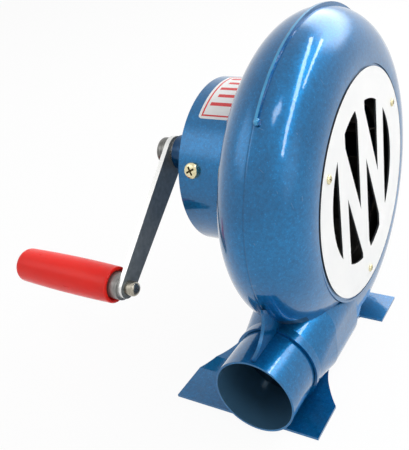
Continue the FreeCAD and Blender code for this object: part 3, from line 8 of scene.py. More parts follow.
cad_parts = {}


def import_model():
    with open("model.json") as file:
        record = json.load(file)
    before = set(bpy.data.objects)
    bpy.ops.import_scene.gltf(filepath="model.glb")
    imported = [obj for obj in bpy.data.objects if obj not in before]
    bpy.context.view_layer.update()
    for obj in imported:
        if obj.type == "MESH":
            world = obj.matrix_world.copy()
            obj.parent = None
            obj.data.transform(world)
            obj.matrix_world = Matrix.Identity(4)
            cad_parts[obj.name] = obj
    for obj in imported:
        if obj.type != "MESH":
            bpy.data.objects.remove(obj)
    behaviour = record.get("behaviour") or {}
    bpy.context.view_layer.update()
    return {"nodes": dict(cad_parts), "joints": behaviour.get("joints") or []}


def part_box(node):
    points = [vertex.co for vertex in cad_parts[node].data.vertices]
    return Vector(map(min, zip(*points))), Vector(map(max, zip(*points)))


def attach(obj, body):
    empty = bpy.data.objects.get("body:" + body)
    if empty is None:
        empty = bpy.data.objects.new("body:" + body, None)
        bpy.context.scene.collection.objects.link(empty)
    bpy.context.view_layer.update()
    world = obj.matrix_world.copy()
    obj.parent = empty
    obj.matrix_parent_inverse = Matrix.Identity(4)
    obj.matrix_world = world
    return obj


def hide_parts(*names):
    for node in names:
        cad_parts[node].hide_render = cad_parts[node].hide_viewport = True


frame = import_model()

NODES = frame["nodes"]
JOINTS = {joint["name"]: Vector(joint["pos_m"]) for joint in frame["joints"]}
FAN_AXIS = JOINTS["fan_turn"]
CRANK_AXIS = JOINTS["crank_turn"]

MM = 0.001
X, Y, Z = 0, 1, 2
EDGE_FACING = 0.6           # a normal whose X is less than this belongs to a sheet's cut edge

# The two pressed shells meet in the plane X = SEAM_X, and a raised bead covers the seam.
SEAM_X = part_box("inlet_shell")[0].x
BEAD_RISE = 2.2 * MM
SCROLL_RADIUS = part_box("inlet_shell")[1].z - FAN_AXIS.z - BEAD_RISE


# ---------------------------------------------------------------- shader nodes


class Nodes:
    """Short calls that build one node tree."""

    def __init__(self, tree, clear=True):
        self.tree = tree
        if clear:
            tree.nodes.clear()

    def node(self, kind, **settings):
        node = self.tree.nodes.new("ShaderNode" + kind)
        for name, setting in settings.items():
            setattr(node, name, setting)
        return node

    def join(self, source, target):
        self.tree.links.new(source, target)

    def feed(self, target, value):
        """Link a socket, or set its number, vector or colour."""
        if hasattr(value, "is_linked"):
            self.join(value, target)
        else:
            target.default_value = value

    def maths(self, operation, first, second=0.0, clamp=False):
        node = self.node("Math", operation=operation, use_clamp=clamp)
        self.feed(node.inputs[0], first)
        self.feed(node.inputs[1], second)
        return node.outputs[0]

    def vectors(self, operation, first, second=(0, 0, 0)):
        """A vector, or one number where the operation gives that."""
        node = self.node("VectorMath", operation=operation)
        self.feed(node.inputs[0], first)
        self.feed(node.inputs[1], second)
        return node.outputs["Value" if operation in ("DOT_PRODUCT", "LENGTH") else "Vector"]

    def axis(self, vector, index):
        """One component of a vector."""
        split = self.node("SeparateXYZ")
        self.join(vector, split.inputs[0])
        return split.outputs[index]

    def seen_directly(self):
        """1 for camera, glossy and transmission rays."""
        rays = self.node("LightPath").outputs
        total = rays["Is Camera Ray"]
        for name in ("Is Glossy Ray", "Is Transmission Ray"):
            total = self.maths("MAXIMUM", total, rays[name])
        return total


class Finish(Nodes):
    """Material with one shader, and short calls for the textures that the finishes here use."""

    def __init__(self, name, **sockets):
        self.material = bpy.data.materials.new(name)
        self.material.use_nodes = True
        super().__init__(self.material.node_tree)
        output = self.node("OutputMaterial")
        self.shader = self.node("BsdfPrincipled")
        self.join(self.shader.outputs["BSDF"], output.inputs["Surface"])
        for socket, value in sockets.items():
            self.shader.inputs[socket.replace("_", " ")].default_value = value
        coordinates = self.node("TexCoord")
        self.place = coordinates.outputs["Object"]
        self.normal = coordinates.outputs["Normal"]

    def stretch(self, x, y, z):
        """Coordinates that are scaled on each axis."""
        return self.vectors("MULTIPLY", self.place, (x, y, z))

    def noise(self, scale, detail=3.0, roughness=0.55, distortion=0.0, place=None):
        texture = self.node("TexNoise")
        self.join(place or self.place, texture.inputs["Vector"])
        texture.inputs["Scale"].default_value = scale
        texture.inputs["Detail"].default_value = detail
        texture.inputs["Roughness"].default_value = roughness
        texture.inputs["Distortion"].default_value = distortion
        return texture.outputs[0]

    def cell_colours(self, scale):
        """A colour of its own for every small cell."""
        texture = self.node("TexVoronoi")
        self.join(self.place, texture.inputs["Vector"])
        texture.inputs["Scale"].default_value = scale
        return texture.outputs["Color"]

    def ramp(self, value, *stops):
        """Colours or grey levels along a value, from stops of (position, level)."""
        ramp = self.node("ValToRGB")
        elements = ramp.color_ramp.elements
        while len(elements) < len(stops):
            elements.new(0.5)
        for element, (position, colour) in zip(elements, stops):
            element.position = position
            grey = isinstance(colour, (int, float))
            element.color = (colour, colour, colour, 1) if grey else (*colour, 1)
        self.join(value, ramp.inputs["Fac"])
        return ramp.outputs["Color"]

    def mix(self, amount, first, second, blend="MIX"):
        """Blend of two colours."""
        mix = self.node("Mix", data_type="RGBA", blend_type=blend)
        colour_sockets = (6, 7)
        self.feed(mix.inputs[0], amount)
        for index, colour in zip(colour_sockets, (first, second)):
            linked = hasattr(colour, "is_linked")
            self.feed(mix.inputs[index], colour if linked else (*colour, 1))
        return mix.outputs[2]

    def bump(self, height, strength, distance, below=None):
        node = self.node("Bump")
        node.inputs["Strength"].default_value = strength
        node.inputs["Distance"].default_value = distance
        self.join(height, node.inputs["Height"])
        if below is not None:
            self.join(below, node.inputs["Normal"])
        return node.outputs["Normal"]

    def colour(self, value):
        self.feed(self.shader.inputs["Base Color"], value)

    def rough(self, value):
        self.feed(self.shader.inputs["Roughness"], value)

    def relief(self, value, coat=True):
        self.join(value, self.shader.inputs["Normal"])
        if coat:
            self.join(value, self.shader.inputs["Coat Normal"])

    def cut_edge(self):
        """1 on the faces that look across X, which are the cut edges of a sheet that faces X."""
        along_x = self.maths("ABSOLUTE", self.axis(self.normal, X))
        return self.maths("LESS_THAN", along_x, EDGE_FACING)

    def facing_from(self, centre):
        """How far a surface faces away from a centre: positive outside, negative inside."""
        return self.vectors("DOT_PRODUCT", self.vectors("SUBTRACT", self.place, centre),
                            self.normal)

    def facing_from_line(self, x, z):
        """The same for a centre line along Y."""
        centre = self.node("CombineXYZ")
        self.join(self.axis(self.place, Y), centre.inputs[Y])
        centre.inputs[X].default_value = x
        centre.inputs[Z].default_value = z
        return self.facing_from(centre.outputs[0])

    def radius_about(self, centre):
        """Distance from an axis that runs along X."""
        away = self.vectors("SUBTRACT", self.stretch(0, 1, 1), (0, centre.y, centre.z))
        return self.vectors("LENGTH", away)


# ---------------------------------------------------------------- blue enamel

ENAMEL_DARK = (0.001, 0.105, 0.270)
ENAMEL_LIGHT = (0.004, 0.166, 0.405)
GRIME_COLOUR = (0.05, 0.06, 0.07)
SCRATCH_COLOUR = (0.10, 0.24, 0.42)
SEAM_COLOUR = (0.001, 0.040, 0.110)
# Painted highlight on the outer face of the seam's bead.
BEAD_HIGHLIGHT_COLOUR = (0.06, 0.34, 0.60)
# Painted shade: a darker colour for the housing's inner surfaces.
SHELL_INNER_SHADE = (0.035, 0.085, 0.15)
# Painted shade: a duller, greyer blue for the outlet pipe's bore.
PIPE_INNER_SHADE = (0.060, 0.155, 0.260)
# Painted shade round the crank's boss.
BOSS_SHADE_COLOUR = (0.004, 0.028, 0.085)

ENAMEL_METALLIC = 0.65
ENAMEL_COAT = 1.0
# Where shade is painted, the enamel also loses this much metal and coat.
SHADED_METALLIC_LOSS = 0.4
SHADED_COAT_LOSS = 0.8

GRIME_HEIGHT = 12 * MM      # the feet stay dirty up to here
GRIME_COVER = 0.35
SEAM_HALF_WIDTH = 0.8 * MM
SEAM_COVER = 0.40
BEAD_START = 0.3 * MM       # the bead's painted highlight starts this far over the rim
BEAD_FACING = 0.5           # its inlet side, with a normal whose X is more than this, stays blue
BEAD_END = FAN_AXIS.z - 20 * MM
# The painted shade round the crank's boss reaches this far from its axis and fades over this width.
BOSS_SHADE_REACH = 20 * MM
BOSS_SHADE_FADE = 6 * MM
INSIDE = -2 * MM            # a surface that faces its centre by more than this is an inner one
NECK_CENTRE_HEIGHT = 42 * MM
NECK_TOP = 76 * MM
NECK_START = FAN_AXIS.y - 20 * MM


def enamel_layers(finish):
    """Tone and relief: drifting colour, flakes, orange peel and sheet that isn't quite flat."""
    drift = finish.noise(11, detail=3, roughness=0.6, distortion=0.4)
    tone = finish.ramp(drift, (0.3, ENAMEL_DARK), (0.72, ENAMEL_LIGHT))
    sparkle = finish.ramp(finish.cell_colours(1500), (0.45, 0.82), (0.8, 1.0), (0.97, 1.75))
    tone = finish.mix(0.55, tone, finish.mix(1.0, tone, sparkle, "MULTIPLY"))
    mottle = finish.ramp(finish.noise(420, detail=3, roughness=0.7), (0.34, 0.84), (0.66, 1.16))
    tone = finish.mix(1.0, tone, mottle, "MULTIPLY")
    sheet = finish.noise(17, detail=2, roughness=0.5, distortion=0.6)
    relief = finish.bump(sheet, strength=0.22, distance=2.2 * MM)
    peel = finish.noise(330, detail=2, roughness=0.5)
    relief = finish.bump(peel, strength=0.10, distance=0.25 * MM, below=relief)
    return tone, relief


def wear_enamel(finish, tone):
    """Grime low on the feet, and a few long scratches."""
    low = finish.maths("LESS_THAN", finish.axis(finish.place, Z), GRIME_HEIGHT)
    dust = finish.noise(75, detail=5, roughness=0.65, distortion=0.3)
    grime = finish.maths("MULTIPLY", finish.ramp(dust, (0.48, 0.0), (0.8, 0.55)),
                         finish.maths("MULTIPLY", low, GRIME_COVER))
    tone = finish.mix(grime, tone, GRIME_COLOUR)
    streaks = finish.noise(60, detail=2, roughness=0.5, distortion=0.2,
                           place=finish.stretch(0.35, 6.0, 1.2))
    lines = finish.ramp(streaks, (0.715, 0.0), (0.735, 0.45), (0.75, 0.0))
    return finish.mix(lines, tone, SCRATCH_COLOUR)


def blue_enamel(name, shade_mask=None, shade_colour=None, housing=False):
    """Blue enamel. The second argument marks where shade is painted, in the third argument's
    colour.
    """
    finish = Finish(name, Metallic=ENAMEL_METALLIC, Coat_Weight=ENAMEL_COAT, Coat_Roughness=0.045,
                    Coat_IOR=1.46, Specular_IOR_Level=0.0)
    tone, relief = enamel_layers(finish)
    tone = wear_enamel(finish, tone)
    if housing:
        joint = seam_joint(finish)
        tone = finish.mix(finish.maths("MULTIPLY", joint, SEAM_COVER), tone, SEAM_COLOUR)
        relief = finish.bump(finish.maths("SUBTRACT", 1.0, joint), strength=0.5,
                             distance=0.35 * MM, below=relief)
        # Painted highlight: the bead's outer face is lighter.
        tone = finish.mix(seam_bead_highlight(finish), tone, BEAD_HIGHLIGHT_COLOUR)
    # Painted shade: where the mask is 1, a darker, duller colour with less metal and coat stands in
    # for the shade there.
    if shade_mask:
        cover = shade_mask(finish)
        tone = finish.mix(cover, tone, shade_colour)
        for socket, full, loss in (("Metallic", ENAMEL_METALLIC, SHADED_METALLIC_LOSS),
                                   ("Coat Weight", ENAMEL_COAT, SHADED_COAT_LOSS)):
            lost = finish.maths("MULTIPLY", cover, loss)
            finish.feed(finish.shader.inputs[socket], finish.maths("SUBTRACT", full, lost))
    finish.colour(tone)
    wear = finish.noise(90, detail=4, roughness=0.6)
    finish.rough(finish.ramp(wear, (0.35, 0.28), (0.75, 0.38)))
    finish.relief(relief)
    return finish.material


def shell_inside(finish):
    """1 on the housing's inner surfaces, where shade is painted. The neck is judged from its own
    centre line.
    """
    scroll = finish.facing_from((0, FAN_AXIS.y, FAN_AXIS.z))
    neck = finish.facing_from_line(0, NECK_CENTRE_HEIGHT)
    below = finish.maths("LESS_THAN", finish.axis(finish.place, Z), NECK_TOP)
    beyond = finish.maths("LESS_THAN", finish.axis(finish.place, Y), NECK_START)
    chosen = finish.node("Mix")
    finish.join(finish.maths("MULTIPLY", below, beyond), chosen.inputs[0])
    finish.join(scroll, chosen.inputs[2])
    finish.join(neck, chosen.inputs[3])
    return finish.maths("LESS_THAN", chosen.outputs[0], INSIDE)


def pipe_inside(finish):
    """1 on the outlet pipe's bore, where shade is painted as a duller, darker coat."""
    low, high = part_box("outlet_pipe")
    facing = finish.facing_from_line((low.x + high.x) / 2, (low.z + high.z) / 2)
    return finish.maths("LESS_THAN", facing, INSIDE)


def boss_painted_shade(finish):
    """Painted shade: a dark, patchy cover on the crank's boss, fading out around it."""
    reach = finish.maths("SUBTRACT", BOSS_SHADE_REACH, finish.radius_about(CRANK_AXIS))
    near = finish.maths("DIVIDE", reach, BOSS_SHADE_FADE, clamp=True)
    patches = finish.ramp(finish.noise(120, detail=4, roughness=0.6), (0.3, 0.65), (0.7, 0.92))
    return finish.maths("MULTIPLY", near, patches)


def seam_joint(finish):
    """1 on the line where the two pressed shells meet, fading to 0 on both sides."""
    away = finish.maths("ABSOLUTE",
                        finish.maths("SUBTRACT", finish.axis(finish.place, X), SEAM_X))
    return finish.maths("SUBTRACT", 1.0, finish.maths("DIVIDE", away, SEAM_HALF_WIDTH), clamp=True)


def seam_bead_highlight(finish):
    """Painted highlight: a lighter colour, in patches, on the outer face of the raised bead over
    the rim.
    """
    raised = finish.maths("GREATER_THAN", finish.radius_about(FAN_AXIS),
                          SCROLL_RADIUS + BEAD_START)
    above = finish.maths("GREATER_THAN", finish.axis(finish.place, Z), BEAD_END)
    outer = finish.maths("LESS_THAN", finish.axis(finish.normal, X), BEAD_FACING)
    front = finish.maths("GREATER_THAN", finish.axis(finish.place, X), SEAM_X + SEAM_HALF_WIDTH)
    painted_highlight = finish.ramp(finish.noise(150, detail=3, roughness=0.6), (0.35, 0.55), (0.65, 0.95))
    for part in (raised, above, outer, front):
        painted_highlight = finish.maths("MULTIPLY", painted_highlight, part)
    return painted_highlight


# ---------------------------------------------------------------- other finishes


def white_enamel():
    """White stoved guard with faint dust, small rubs, a soft orange peel, and painted shadow on its
    cut edges.
    """
    finish = Finish("white_enamel", Coat_Weight=0.6, Coat_Roughness=0.12)
    drift = finish.noise(14, detail=3, roughness=0.6)
    tone = finish.ramp(drift, (0.3, (0.80, 0.81, 0.81)), (0.7, (0.87, 0.87, 0.86)))
    rubs = finish.noise(130, detail=4, roughness=0.7, distortion=0.5)
    tone = finish.mix(finish.ramp(rubs, (0.66, 0.0), (0.8, 0.30)), tone, (0.52, 0.53, 0.53))
    # Painted shadow: the cut edges of the rim and the slots are near black.
    finish.colour(finish.mix(finish.cut_edge(), tone, (0.035, 0.038, 0.042)))
    finish.rough(finish.ramp(rubs, (0.3, 0.28), (0.75, 0.46)))
    sheet = finish.noise(30, detail=2, roughness=0.5)
    relief = finish.bump(sheet, strength=0.12, distance=0.8 * MM)
    peel = finish.noise(420, detail=2, roughness=0.5)
    finish.relief(finish.bump(peel, strength=0.12, distance=0.15 * MM, below=relief))
    return finish.material


def brushed_metal(name, dark, light, rough, grain, stains, metallic=1.0):
    """Metal with fine tool lines along one direction, uneven tone and a few dull stains."""
    finish = Finish(name, Metallic=metallic)
    lines = finish.noise(900, detail=3, roughness=0.6, place=finish.stretch(*grain))
    marks = finish.noise(160, detail=4, roughness=0.65, distortion=0.4)
    tone = finish.ramp(lines, (0.3, dark), (0.7, light))
    finish.colour(finish.mix(finish.ramp(marks, (0.6, 0.0), (0.82, 0.45)), tone, stains))
    finish.rough(finish.mix(0.5, finish.ramp(lines, (0.25, rough - 0.08), (0.75, rough + 0.10)),
                            finish.ramp(marks, (0.4, rough - 0.05), (0.75, rough + 0.22))))
    relief = finish.bump(lines, strength=0.20, distance=0.06 * MM)
    finish.relief(finish.bump(marks, strength=0.08, distance=0.12 * MM, below=relief), coat=False)
    return finish.material


def arm_steel():
    """Dark painted flat bar whose sheared edges are bare, bright steel."""
    finish = Finish("arm_steel", Coat_Weight=0.25, Coat_Roughness=0.25)
    edge = finish.cut_edge()
    rolled = finish.noise(240, detail=4, roughness=0.62, distortion=0.3)
    paint = finish.ramp(rolled, (0.3, (0.125, 0.138, 0.141)), (0.72, (0.21, 0.23, 0.234)))
    chips = finish.noise(95, detail=5, roughness=0.7, distortion=0.6)
    paint = finish.mix(finish.ramp(chips, (0.70, 0.0), (0.735, 0.8)), paint, (0.24, 0.25, 0.25))
    shear = finish.noise(700, detail=3, roughness=0.6, place=finish.stretch(9.0, 1.0, 1.0))
    bare = finish.ramp(shear, (0.3, (0.62, 0.62, 0.61)), (0.7, (0.88, 0.88, 0.86)))
    finish.colour(finish.mix(edge, paint, bare))
    finish.join(finish.maths("MULTIPLY", edge, 0.85), finish.shader.inputs["Metallic"])
    finish.rough(finish.mix(edge, finish.ramp(rolled, (0.3, 0.42), (0.7, 0.60)),
                            finish.ramp(shear, (0.3, 0.24), (0.7, 0.40))))
    relief = finish.bump(rolled, strength=0.18, distance=0.15 * MM)
    finish.relief(finish.bump(shear, strength=0.15, distance=0.05 * MM, below=relief), coat=False)
    return finish.material


def red_plastic():
    """Moulded red plastic that light sinks into, with flow marks, scuffs and a fine skin."""
    finish = Finish("red_plastic", Coat_Weight=0.25, Coat_Roughness=0.12, Coat_IOR=1.4,
                    Specular_IOR_Level=0.2, Subsurface_Weight=0.5,
                    Subsurface_Radius=(1.0, 0.12, 0.06), Subsurface_Scale=9 * MM)
    flow = finish.noise(40, detail=3, roughness=0.55, distortion=0.8,
                        place=finish.stretch(0.35, 1.0, 1.0))
    tone = finish.ramp(flow, (0.3, (0.93, 0.010, 0.005)), (0.72, (0.99, 0.022, 0.012)))
    scuffs = finish.noise(210, detail=4, roughness=0.7, distortion=0.5,
                          place=finish.stretch(0.5, 1.0, 1.0))
    finish.colour(finish.mix(finish.ramp(scuffs, (0.68, 0.0), (0.80, 0.35)), tone,
                             (0.90, 0.16, 0.11)))
    finish.rough(finish.ramp(scuffs, (0.3, 0.26), (0.75, 0.46)))
    relief = finish.bump(flow, strength=0.15, distance=0.8 * MM)
    skin = finish.noise(900, detail=2, roughness=0.6)
    finish.relief(finish.bump(skin, strength=0.10, distance=0.08 * MM, below=relief))
    return finish.material


def cast_iron():
    """Grey iron with a grainy skin and an oily sheen."""
    finish = Finish("cast_iron", Metallic=0.75)
    grain = finish.noise(850, detail=4, roughness=0.7)
    oil = finish.noise(70, detail=3, roughness=0.6, distortion=0.5)
    tone = finish.ramp(grain, (0.3, (0.10, 0.10, 0.10)), (0.75, (0.24, 0.24, 0.25)))
    finish.colour(finish.mix(finish.ramp(oil, (0.5, 0.0), (0.75, 0.6)), tone,
                             (0.035, 0.028, 0.02)))
    finish.rough(finish.ramp(oil, (0.4, 0.55), (0.7, 0.26)))
    finish.relief(finish.bump(grain, strength=0.4, distance=0.2 * MM), coat=False)
    return finish.material


def plain_detail(name, dark, light, rough, grain, depth, metallic=0.0):
    """Small surface with a mottled tone, uneven gloss and a fine skin."""
    finish = Finish(name, Metallic=metallic)
    mottle = finish.noise(grain, detail=4, roughness=0.6, distortion=0.3)
    finish.colour(finish.ramp(mottle, (0.3, dark), (0.72, light)))
    finish.rough(finish.ramp(mottle, (0.3, rough - 0.08), (0.72, rough + 0.12)))
    finish.relief(finish.bump(mottle, strength=0.3, distance=depth), coat=False)
    return finish.material


def label_paper():
    """Gloss paper with uneven, dirty spots."""
    finish = Finish("label_paper", Coat_Weight=0.5, Coat_Roughness=0.2)
    drift = finish.noise(90, detail=4, roughness=0.6)
    tone = finish.ramp(drift, (0.3, (0.89, 0.88, 0.86)), (0.7, (0.94, 0.94, 0.93)))
    dirt = finish.noise(260, detail=5, roughness=0.7, distortion=0.5)
    finish.colour(finish.mix(finish.ramp(dirt, (0.64, 0.0), (0.8, 0.25)), tone,
                             (0.52, 0.50, 0.46)))
    finish.rough(finish.ramp(drift, (0.3, 0.30), (0.7, 0.46)))
    finish.relief(finish.bump(drift, strength=0.25, distance=0.2 * MM))
    return finish.material


def label_ink():
    """Red print with uneven cover."""
    finish = Finish("label_ink", Coat_Weight=0.4, Coat_Roughness=0.25)
    cover = finish.noise(700, detail=4, roughness=0.7)
    finish.colour(finish.ramp(cover, (0.3, (0.64, 0.012, 0.020)), (0.62, (0.76, 0.040, 0.045)),
                              (0.74, (0.84, 0.32, 0.30))))
    finish.rough(finish.ramp(cover, (0.3, 0.34), (0.7, 0.5)))
    finish.relief(finish.bump(cover, strength=0.2, distance=0.05 * MM))
    return finish.material


EVEN = (1, 1, 1)
ALONG_X = (0.06, 1.0, 1.0)
ROUND_X = (1.0, 0.15, 0.15)

FINISHES = {
    "housing": blue_enamel("housing_enamel", shell_inside, SHELL_INNER_SHADE, housing=True),
    "pipe": blue_enamel("pipe_enamel", pipe_inside, PIPE_INNER_SHADE),
    "cover": blue_enamel("cover_enamel", boss_painted_shade, BOSS_SHADE_COLOUR),
    "blue": blue_enamel("blue_enamel"),
    "white": white_enamel(),
    "yellow_zinc": brushed_metal(
        "yellow_zinc", dark=(0.60, 0.52, 0.28), light=(0.86, 0.80, 0.56), rough=0.22,
        grain=EVEN, stains=(0.22, 0.16, 0.06)),
    "zinc": brushed_metal(
        "bright_zinc", dark=(0.36, 0.36, 0.35), light=(0.58, 0.58, 0.56), rough=0.28,
        grain=EVEN, stains=(0.18, 0.17, 0.15)),
    "turned": brushed_metal(
        "turned_steel", dark=(0.10, 0.10, 0.096), light=(0.23, 0.23, 0.22), rough=0.27,
        grain=ROUND_X, stains=(0.07, 0.06, 0.05)),
    "shaft": brushed_metal(
        "ground_shaft", dark=(0.34, 0.34, 0.33), light=(0.54, 0.54, 0.52), rough=0.18,
        grain=ALONG_X, stains=(0.16, 0.14, 0.10)),
    "brass": brushed_metal(
        "turned_brass", dark=(0.27, 0.25, 0.20), light=(0.52, 0.48, 0.40), rough=0.26,
        grain=ROUND_X, stains=(0.12, 0.10, 0.06), metallic=0.85),
    "spindle": brushed_metal(
        "worn_spindle", dark=(0.16, 0.16, 0.155), light=(0.32, 0.32, 0.31), rough=0.36,
        grain=ROUND_X, stains=(0.07, 0.06, 0.05), metallic=0.75),
    "bronze": brushed_metal(
        "sintered_bronze", dark=(0.42, 0.26, 0.12), light=(0.62, 0.42, 0.22), rough=0.42,
        grain=EVEN, stains=(0.10, 0.06, 0.03)),
    "arm": arm_steel(),
    "red": red_plastic(),
    "iron": cast_iron(),
    # Painted shade: the fan wheel is near black so that the housing's inside looks dark through the
    # guard.
    "fan": plain_detail(
        "fan_shade_paint", dark=(0.020, 0.019, 0.018), light=(0.058, 0.052, 0.046), rough=0.42,
        grain=130, depth=0.2 * MM, metallic=0.4),
    "black_steel": plain_detail(
        "black_steel", dark=(0.02, 0.02, 0.021), light=(0.06, 0.06, 0.062), rough=0.38,
        grain=260, depth=0.1 * MM, metallic=0.6),
    # Painted shade: a dark copy of the yellow zinc colour for the faces inside the screws' cross
    # recesses.
    "recess": plain_detail(
        "recess_shade", dark=(0.10, 0.075, 0.028), light=(0.27, 0.20, 0.08), rough=0.45,
        grain=600, depth=0.1 * MM, metallic=0.5),
    "gasket": plain_detail(
        "gasket", dark=(0.018, 0.017, 0.016), light=(0.045, 0.043, 0.04), rough=0.72,
        grain=500, depth=0.2 * MM),
    "paper": label_paper(),
    "ink": label_ink(),
}

FINISH_OF = {
    "housing": ("rear_shell", "inlet_shell"),
    "pipe": ("outlet_pipe",),
    "cover": ("gearbox_cover",),
    "blue": ("base_saddle", "saddle_welds", "gearbox_drum"),
    "white": ("inlet_grille",),
    "yellow_zinc": ("grille_screws", "drum_screws"),
    "zinc": ("hub_screw", "plate_screws", "drum_bolts", "housing_nuts", "impeller_nut",
             "impeller_rivets", "thrust_washer"),
    "turned": ("crank_hub", "impeller_hub", "lay_pinion", "fan_pinion", "bearing_outer_races",
               "bearing_inner_races", "bearing_spacer", "crank_key"),
    "shaft": ("crank_shaft", "lay_shaft", "fan_shaft"),
    "spindle": ("grip_spindle",),
    "brass": ("spindle_nut",),
    "bronze": ("crank_bush", "lay_bushes"),
    "arm": ("crank_arm",),
    "red": ("crank_grip", "grip_cap"),
    "iron": ("crank_gear", "lay_gear", "bearing_plate"),
    "fan": ("impeller_blades", "impeller_disc", "impeller_ring"),
    "black_steel": ("crank_clip", "spindle_clip"),
    "gasket": ("drum_gasket",),
}

for finish_name, node_names in FINISH_OF.items():
    for node_name in node_names:
        node_mesh = NODES[node_name].data
        node_mesh.materials.clear()
        node_mesh.materials.append(FINISHES[finish_name])


# ---------------------------------------------------------------- screws


def new_piece(name, mesh, finish, body, smooth=30):
    """Finished piece that rides on a CAD body. Edges sharper than `smooth` degrees stay sharp."""
    data = bpy.data.meshes.new(name)
    mesh.normal_update()
    mesh.to_mesh(data)
    mesh.free()
    piece = bpy.data.objects.new(name, data)
    bpy.context.scene.collection.objects.link(piece)
    data.materials.append(FINISHES[finish])
    for polygon in data.polygons:
        polygon.use_smooth = True
    data.set_sharp_from_angle(angle=math.radians(smooth))
    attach(piece, body)
    return piece


def lathe(mesh, profile, steps, place):
    """Turn an outline of (radius, height) about Z and move it. Its ends close on the axis."""
    turns = [2 * math.pi * step / steps for step in range(steps)]
    rings = []
    for radius, height in profile:
        if radius == 0:
            rings.append([mesh.verts.new(place @ Vector((0, 0, height)))])
            continue
        points = [Vector((radius * math.cos(a), radius * math.sin(a), height)) for a in turns]
        rings.append([mesh.verts.new(place @ point) for point in points])
    for below, above in zip(rings, rings[1:]):
        for step in range(steps):
            after = (step + 1) % steps
            corners = [below[step % len(below)], below[after % len(below)],
                       above[after % len(above)], above[step % len(above)]]
            mesh.faces.new(list(dict.fromkeys(corners)))


def star_pit(mesh, top, depth, arm, width, place):
    """Closed cutter for a cross recess: wide at the top and drawn in towards the bottom."""
    # Each ring's height and the length of its arms, which draw in more than their width does.
    rings = []
    for height, scale in ((top, 1.0), (-depth * 0.55, 0.86), (-depth, 0.30)):
        long = arm * scale
        half = width / 2 * (0.55 + 0.45 * scale)
        outline = []
        for turn in range(4):
            spin = Matrix.Rotation(math.pi / 2 * turn, 4, "Z")
            for x, y in ((long, -half), (long, half), (half, half)):
                outline.append(mesh.verts.new(place @ (spin @ Vector((x, y, height)))))
        rings.append(outline)
    count = len(rings[0])
    for upper, lower in zip(rings, rings[1:]):
        for step in range(count):
            after = (step + 1) % count
            mesh.faces.new((upper[step], lower[step], lower[after], upper[after]))
    mesh.faces.new(rings[0])
    mesh.faces.new(list(reversed(rings[-1])))


# The second finish paints shade into the cross recesses.
SCREW_FINISHES = ("yellow_zinc", "recess")
SLIVER = 0.002 * MM         # shorter edges are joined after the cut


def carve(screw_mesh, pit_mesh):
    """Take the pits out of the screws. Their faces get the second of the screws' finishes, which is
    painted shade.
    """
    for face in pit_mesh.faces:
        face.material_index = 1
    items = []
    for mesh in (screw_mesh, pit_mesh):
        bmesh.ops.recalc_face_normals(mesh, faces=mesh.faces)
        data = bpy.data.meshes.new("carve")
        mesh.to_mesh(data)
        mesh.free()
        for finish in SCREW_FINISHES:
            data.materials.append(FINISHES[finish])
        item = bpy.data.objects.new("carve", data)
        bpy.context.scene.collection.objects.link(item)
        items.append(item)
    screws, pits = items
    modifier = screws.modifiers.new("pits", "BOOLEAN")
    modifier.operation = "DIFFERENCE"
    modifier.solver = "EXACT"
    modifier.object = pits
    bpy.context.view_layer.update()
    evaluated = screws.evaluated_get(bpy.context.evaluated_depsgraph_get())
    result = bmesh.new()
    result.from_mesh(evaluated.to_mesh())
    evaluated.to_mesh_clear()
    for item in items:
        bpy.data.objects.remove(item)
    bmesh.ops.remove_doubles(result, verts=result.verts, dist=SLIVER)
    bmesh.ops.dissolve_degenerate(result, edges=result.edges, dist=SLIVER)
    return result


SCREW_STEPS = 40
# Outline of a pan head, in shares of its radius and of its height.
PAN_HEAD = ((0.97, 0), (1, 0.10), (1, 0.38), (0.95, 0.62), (0.84, 0.81), (0.66, 0.93),
            (0.42, 0.985), (0, 1))


def screw_profile(head_radius, head, shank_radius, shank):
    """Pan head over its shank, whose end is chamfered."""
    stem = [(0, -shank), (shank_radius * 0.7, -shank), (shank_radius, -shank + shank_radius * 0.4),
            (shank_radius, 0)]
    return stem + [(head_radius * across, head * up) for across, up in PAN_HEAD]


def cross_screws(name, node, places, head_radius, head, shank_radius, shank):
    """Pan-head screws with cross recesses, each on its own seat."""
    screws = bmesh.new()
    pits = bmesh.new()
    profile = screw_profile(head_radius, head, shank_radius, shank)
    for place in places:
        lathe(screws, profile, SCREW_STEPS, place)
        lifted = place @ Matrix.Translation((0, 0, head))
        star_pit(pits, top=0.4 * MM, depth=head * 0.72, arm=head_radius * 0.60,
                 width=head_radius * 0.24, place=lifted)
    piece = new_piece(name, carve(screws, pits), "yellow_zinc", "frame")
    piece.data.materials.append(FINISHES["recess"])
    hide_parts(node)


def across_x(degrees):
    """Direction at right angles to X, turned from Y towards Z."""
    angle = math.radians(degrees)
    return Vector((0, math.cos(angle), math.sin(angle)))


def outward(seat, direction, spin):
    """Placement whose Z points along a direction from a seat."""
    turn = direction.to_track_quat("Z", "Y").to_matrix().to_4x4()
    return Matrix.Translation(seat) @ turn @ Matrix.Rotation(spin, 4, "Z")


def box_middle(node):
    low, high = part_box(node)
    return (low + high) / 2


DRUM_MIDDLE = box_middle("gearbox_drum")
DRUM_RADIUS = ((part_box("gearbox_drum")[1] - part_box("gearbox_drum")[0]) / 2).y

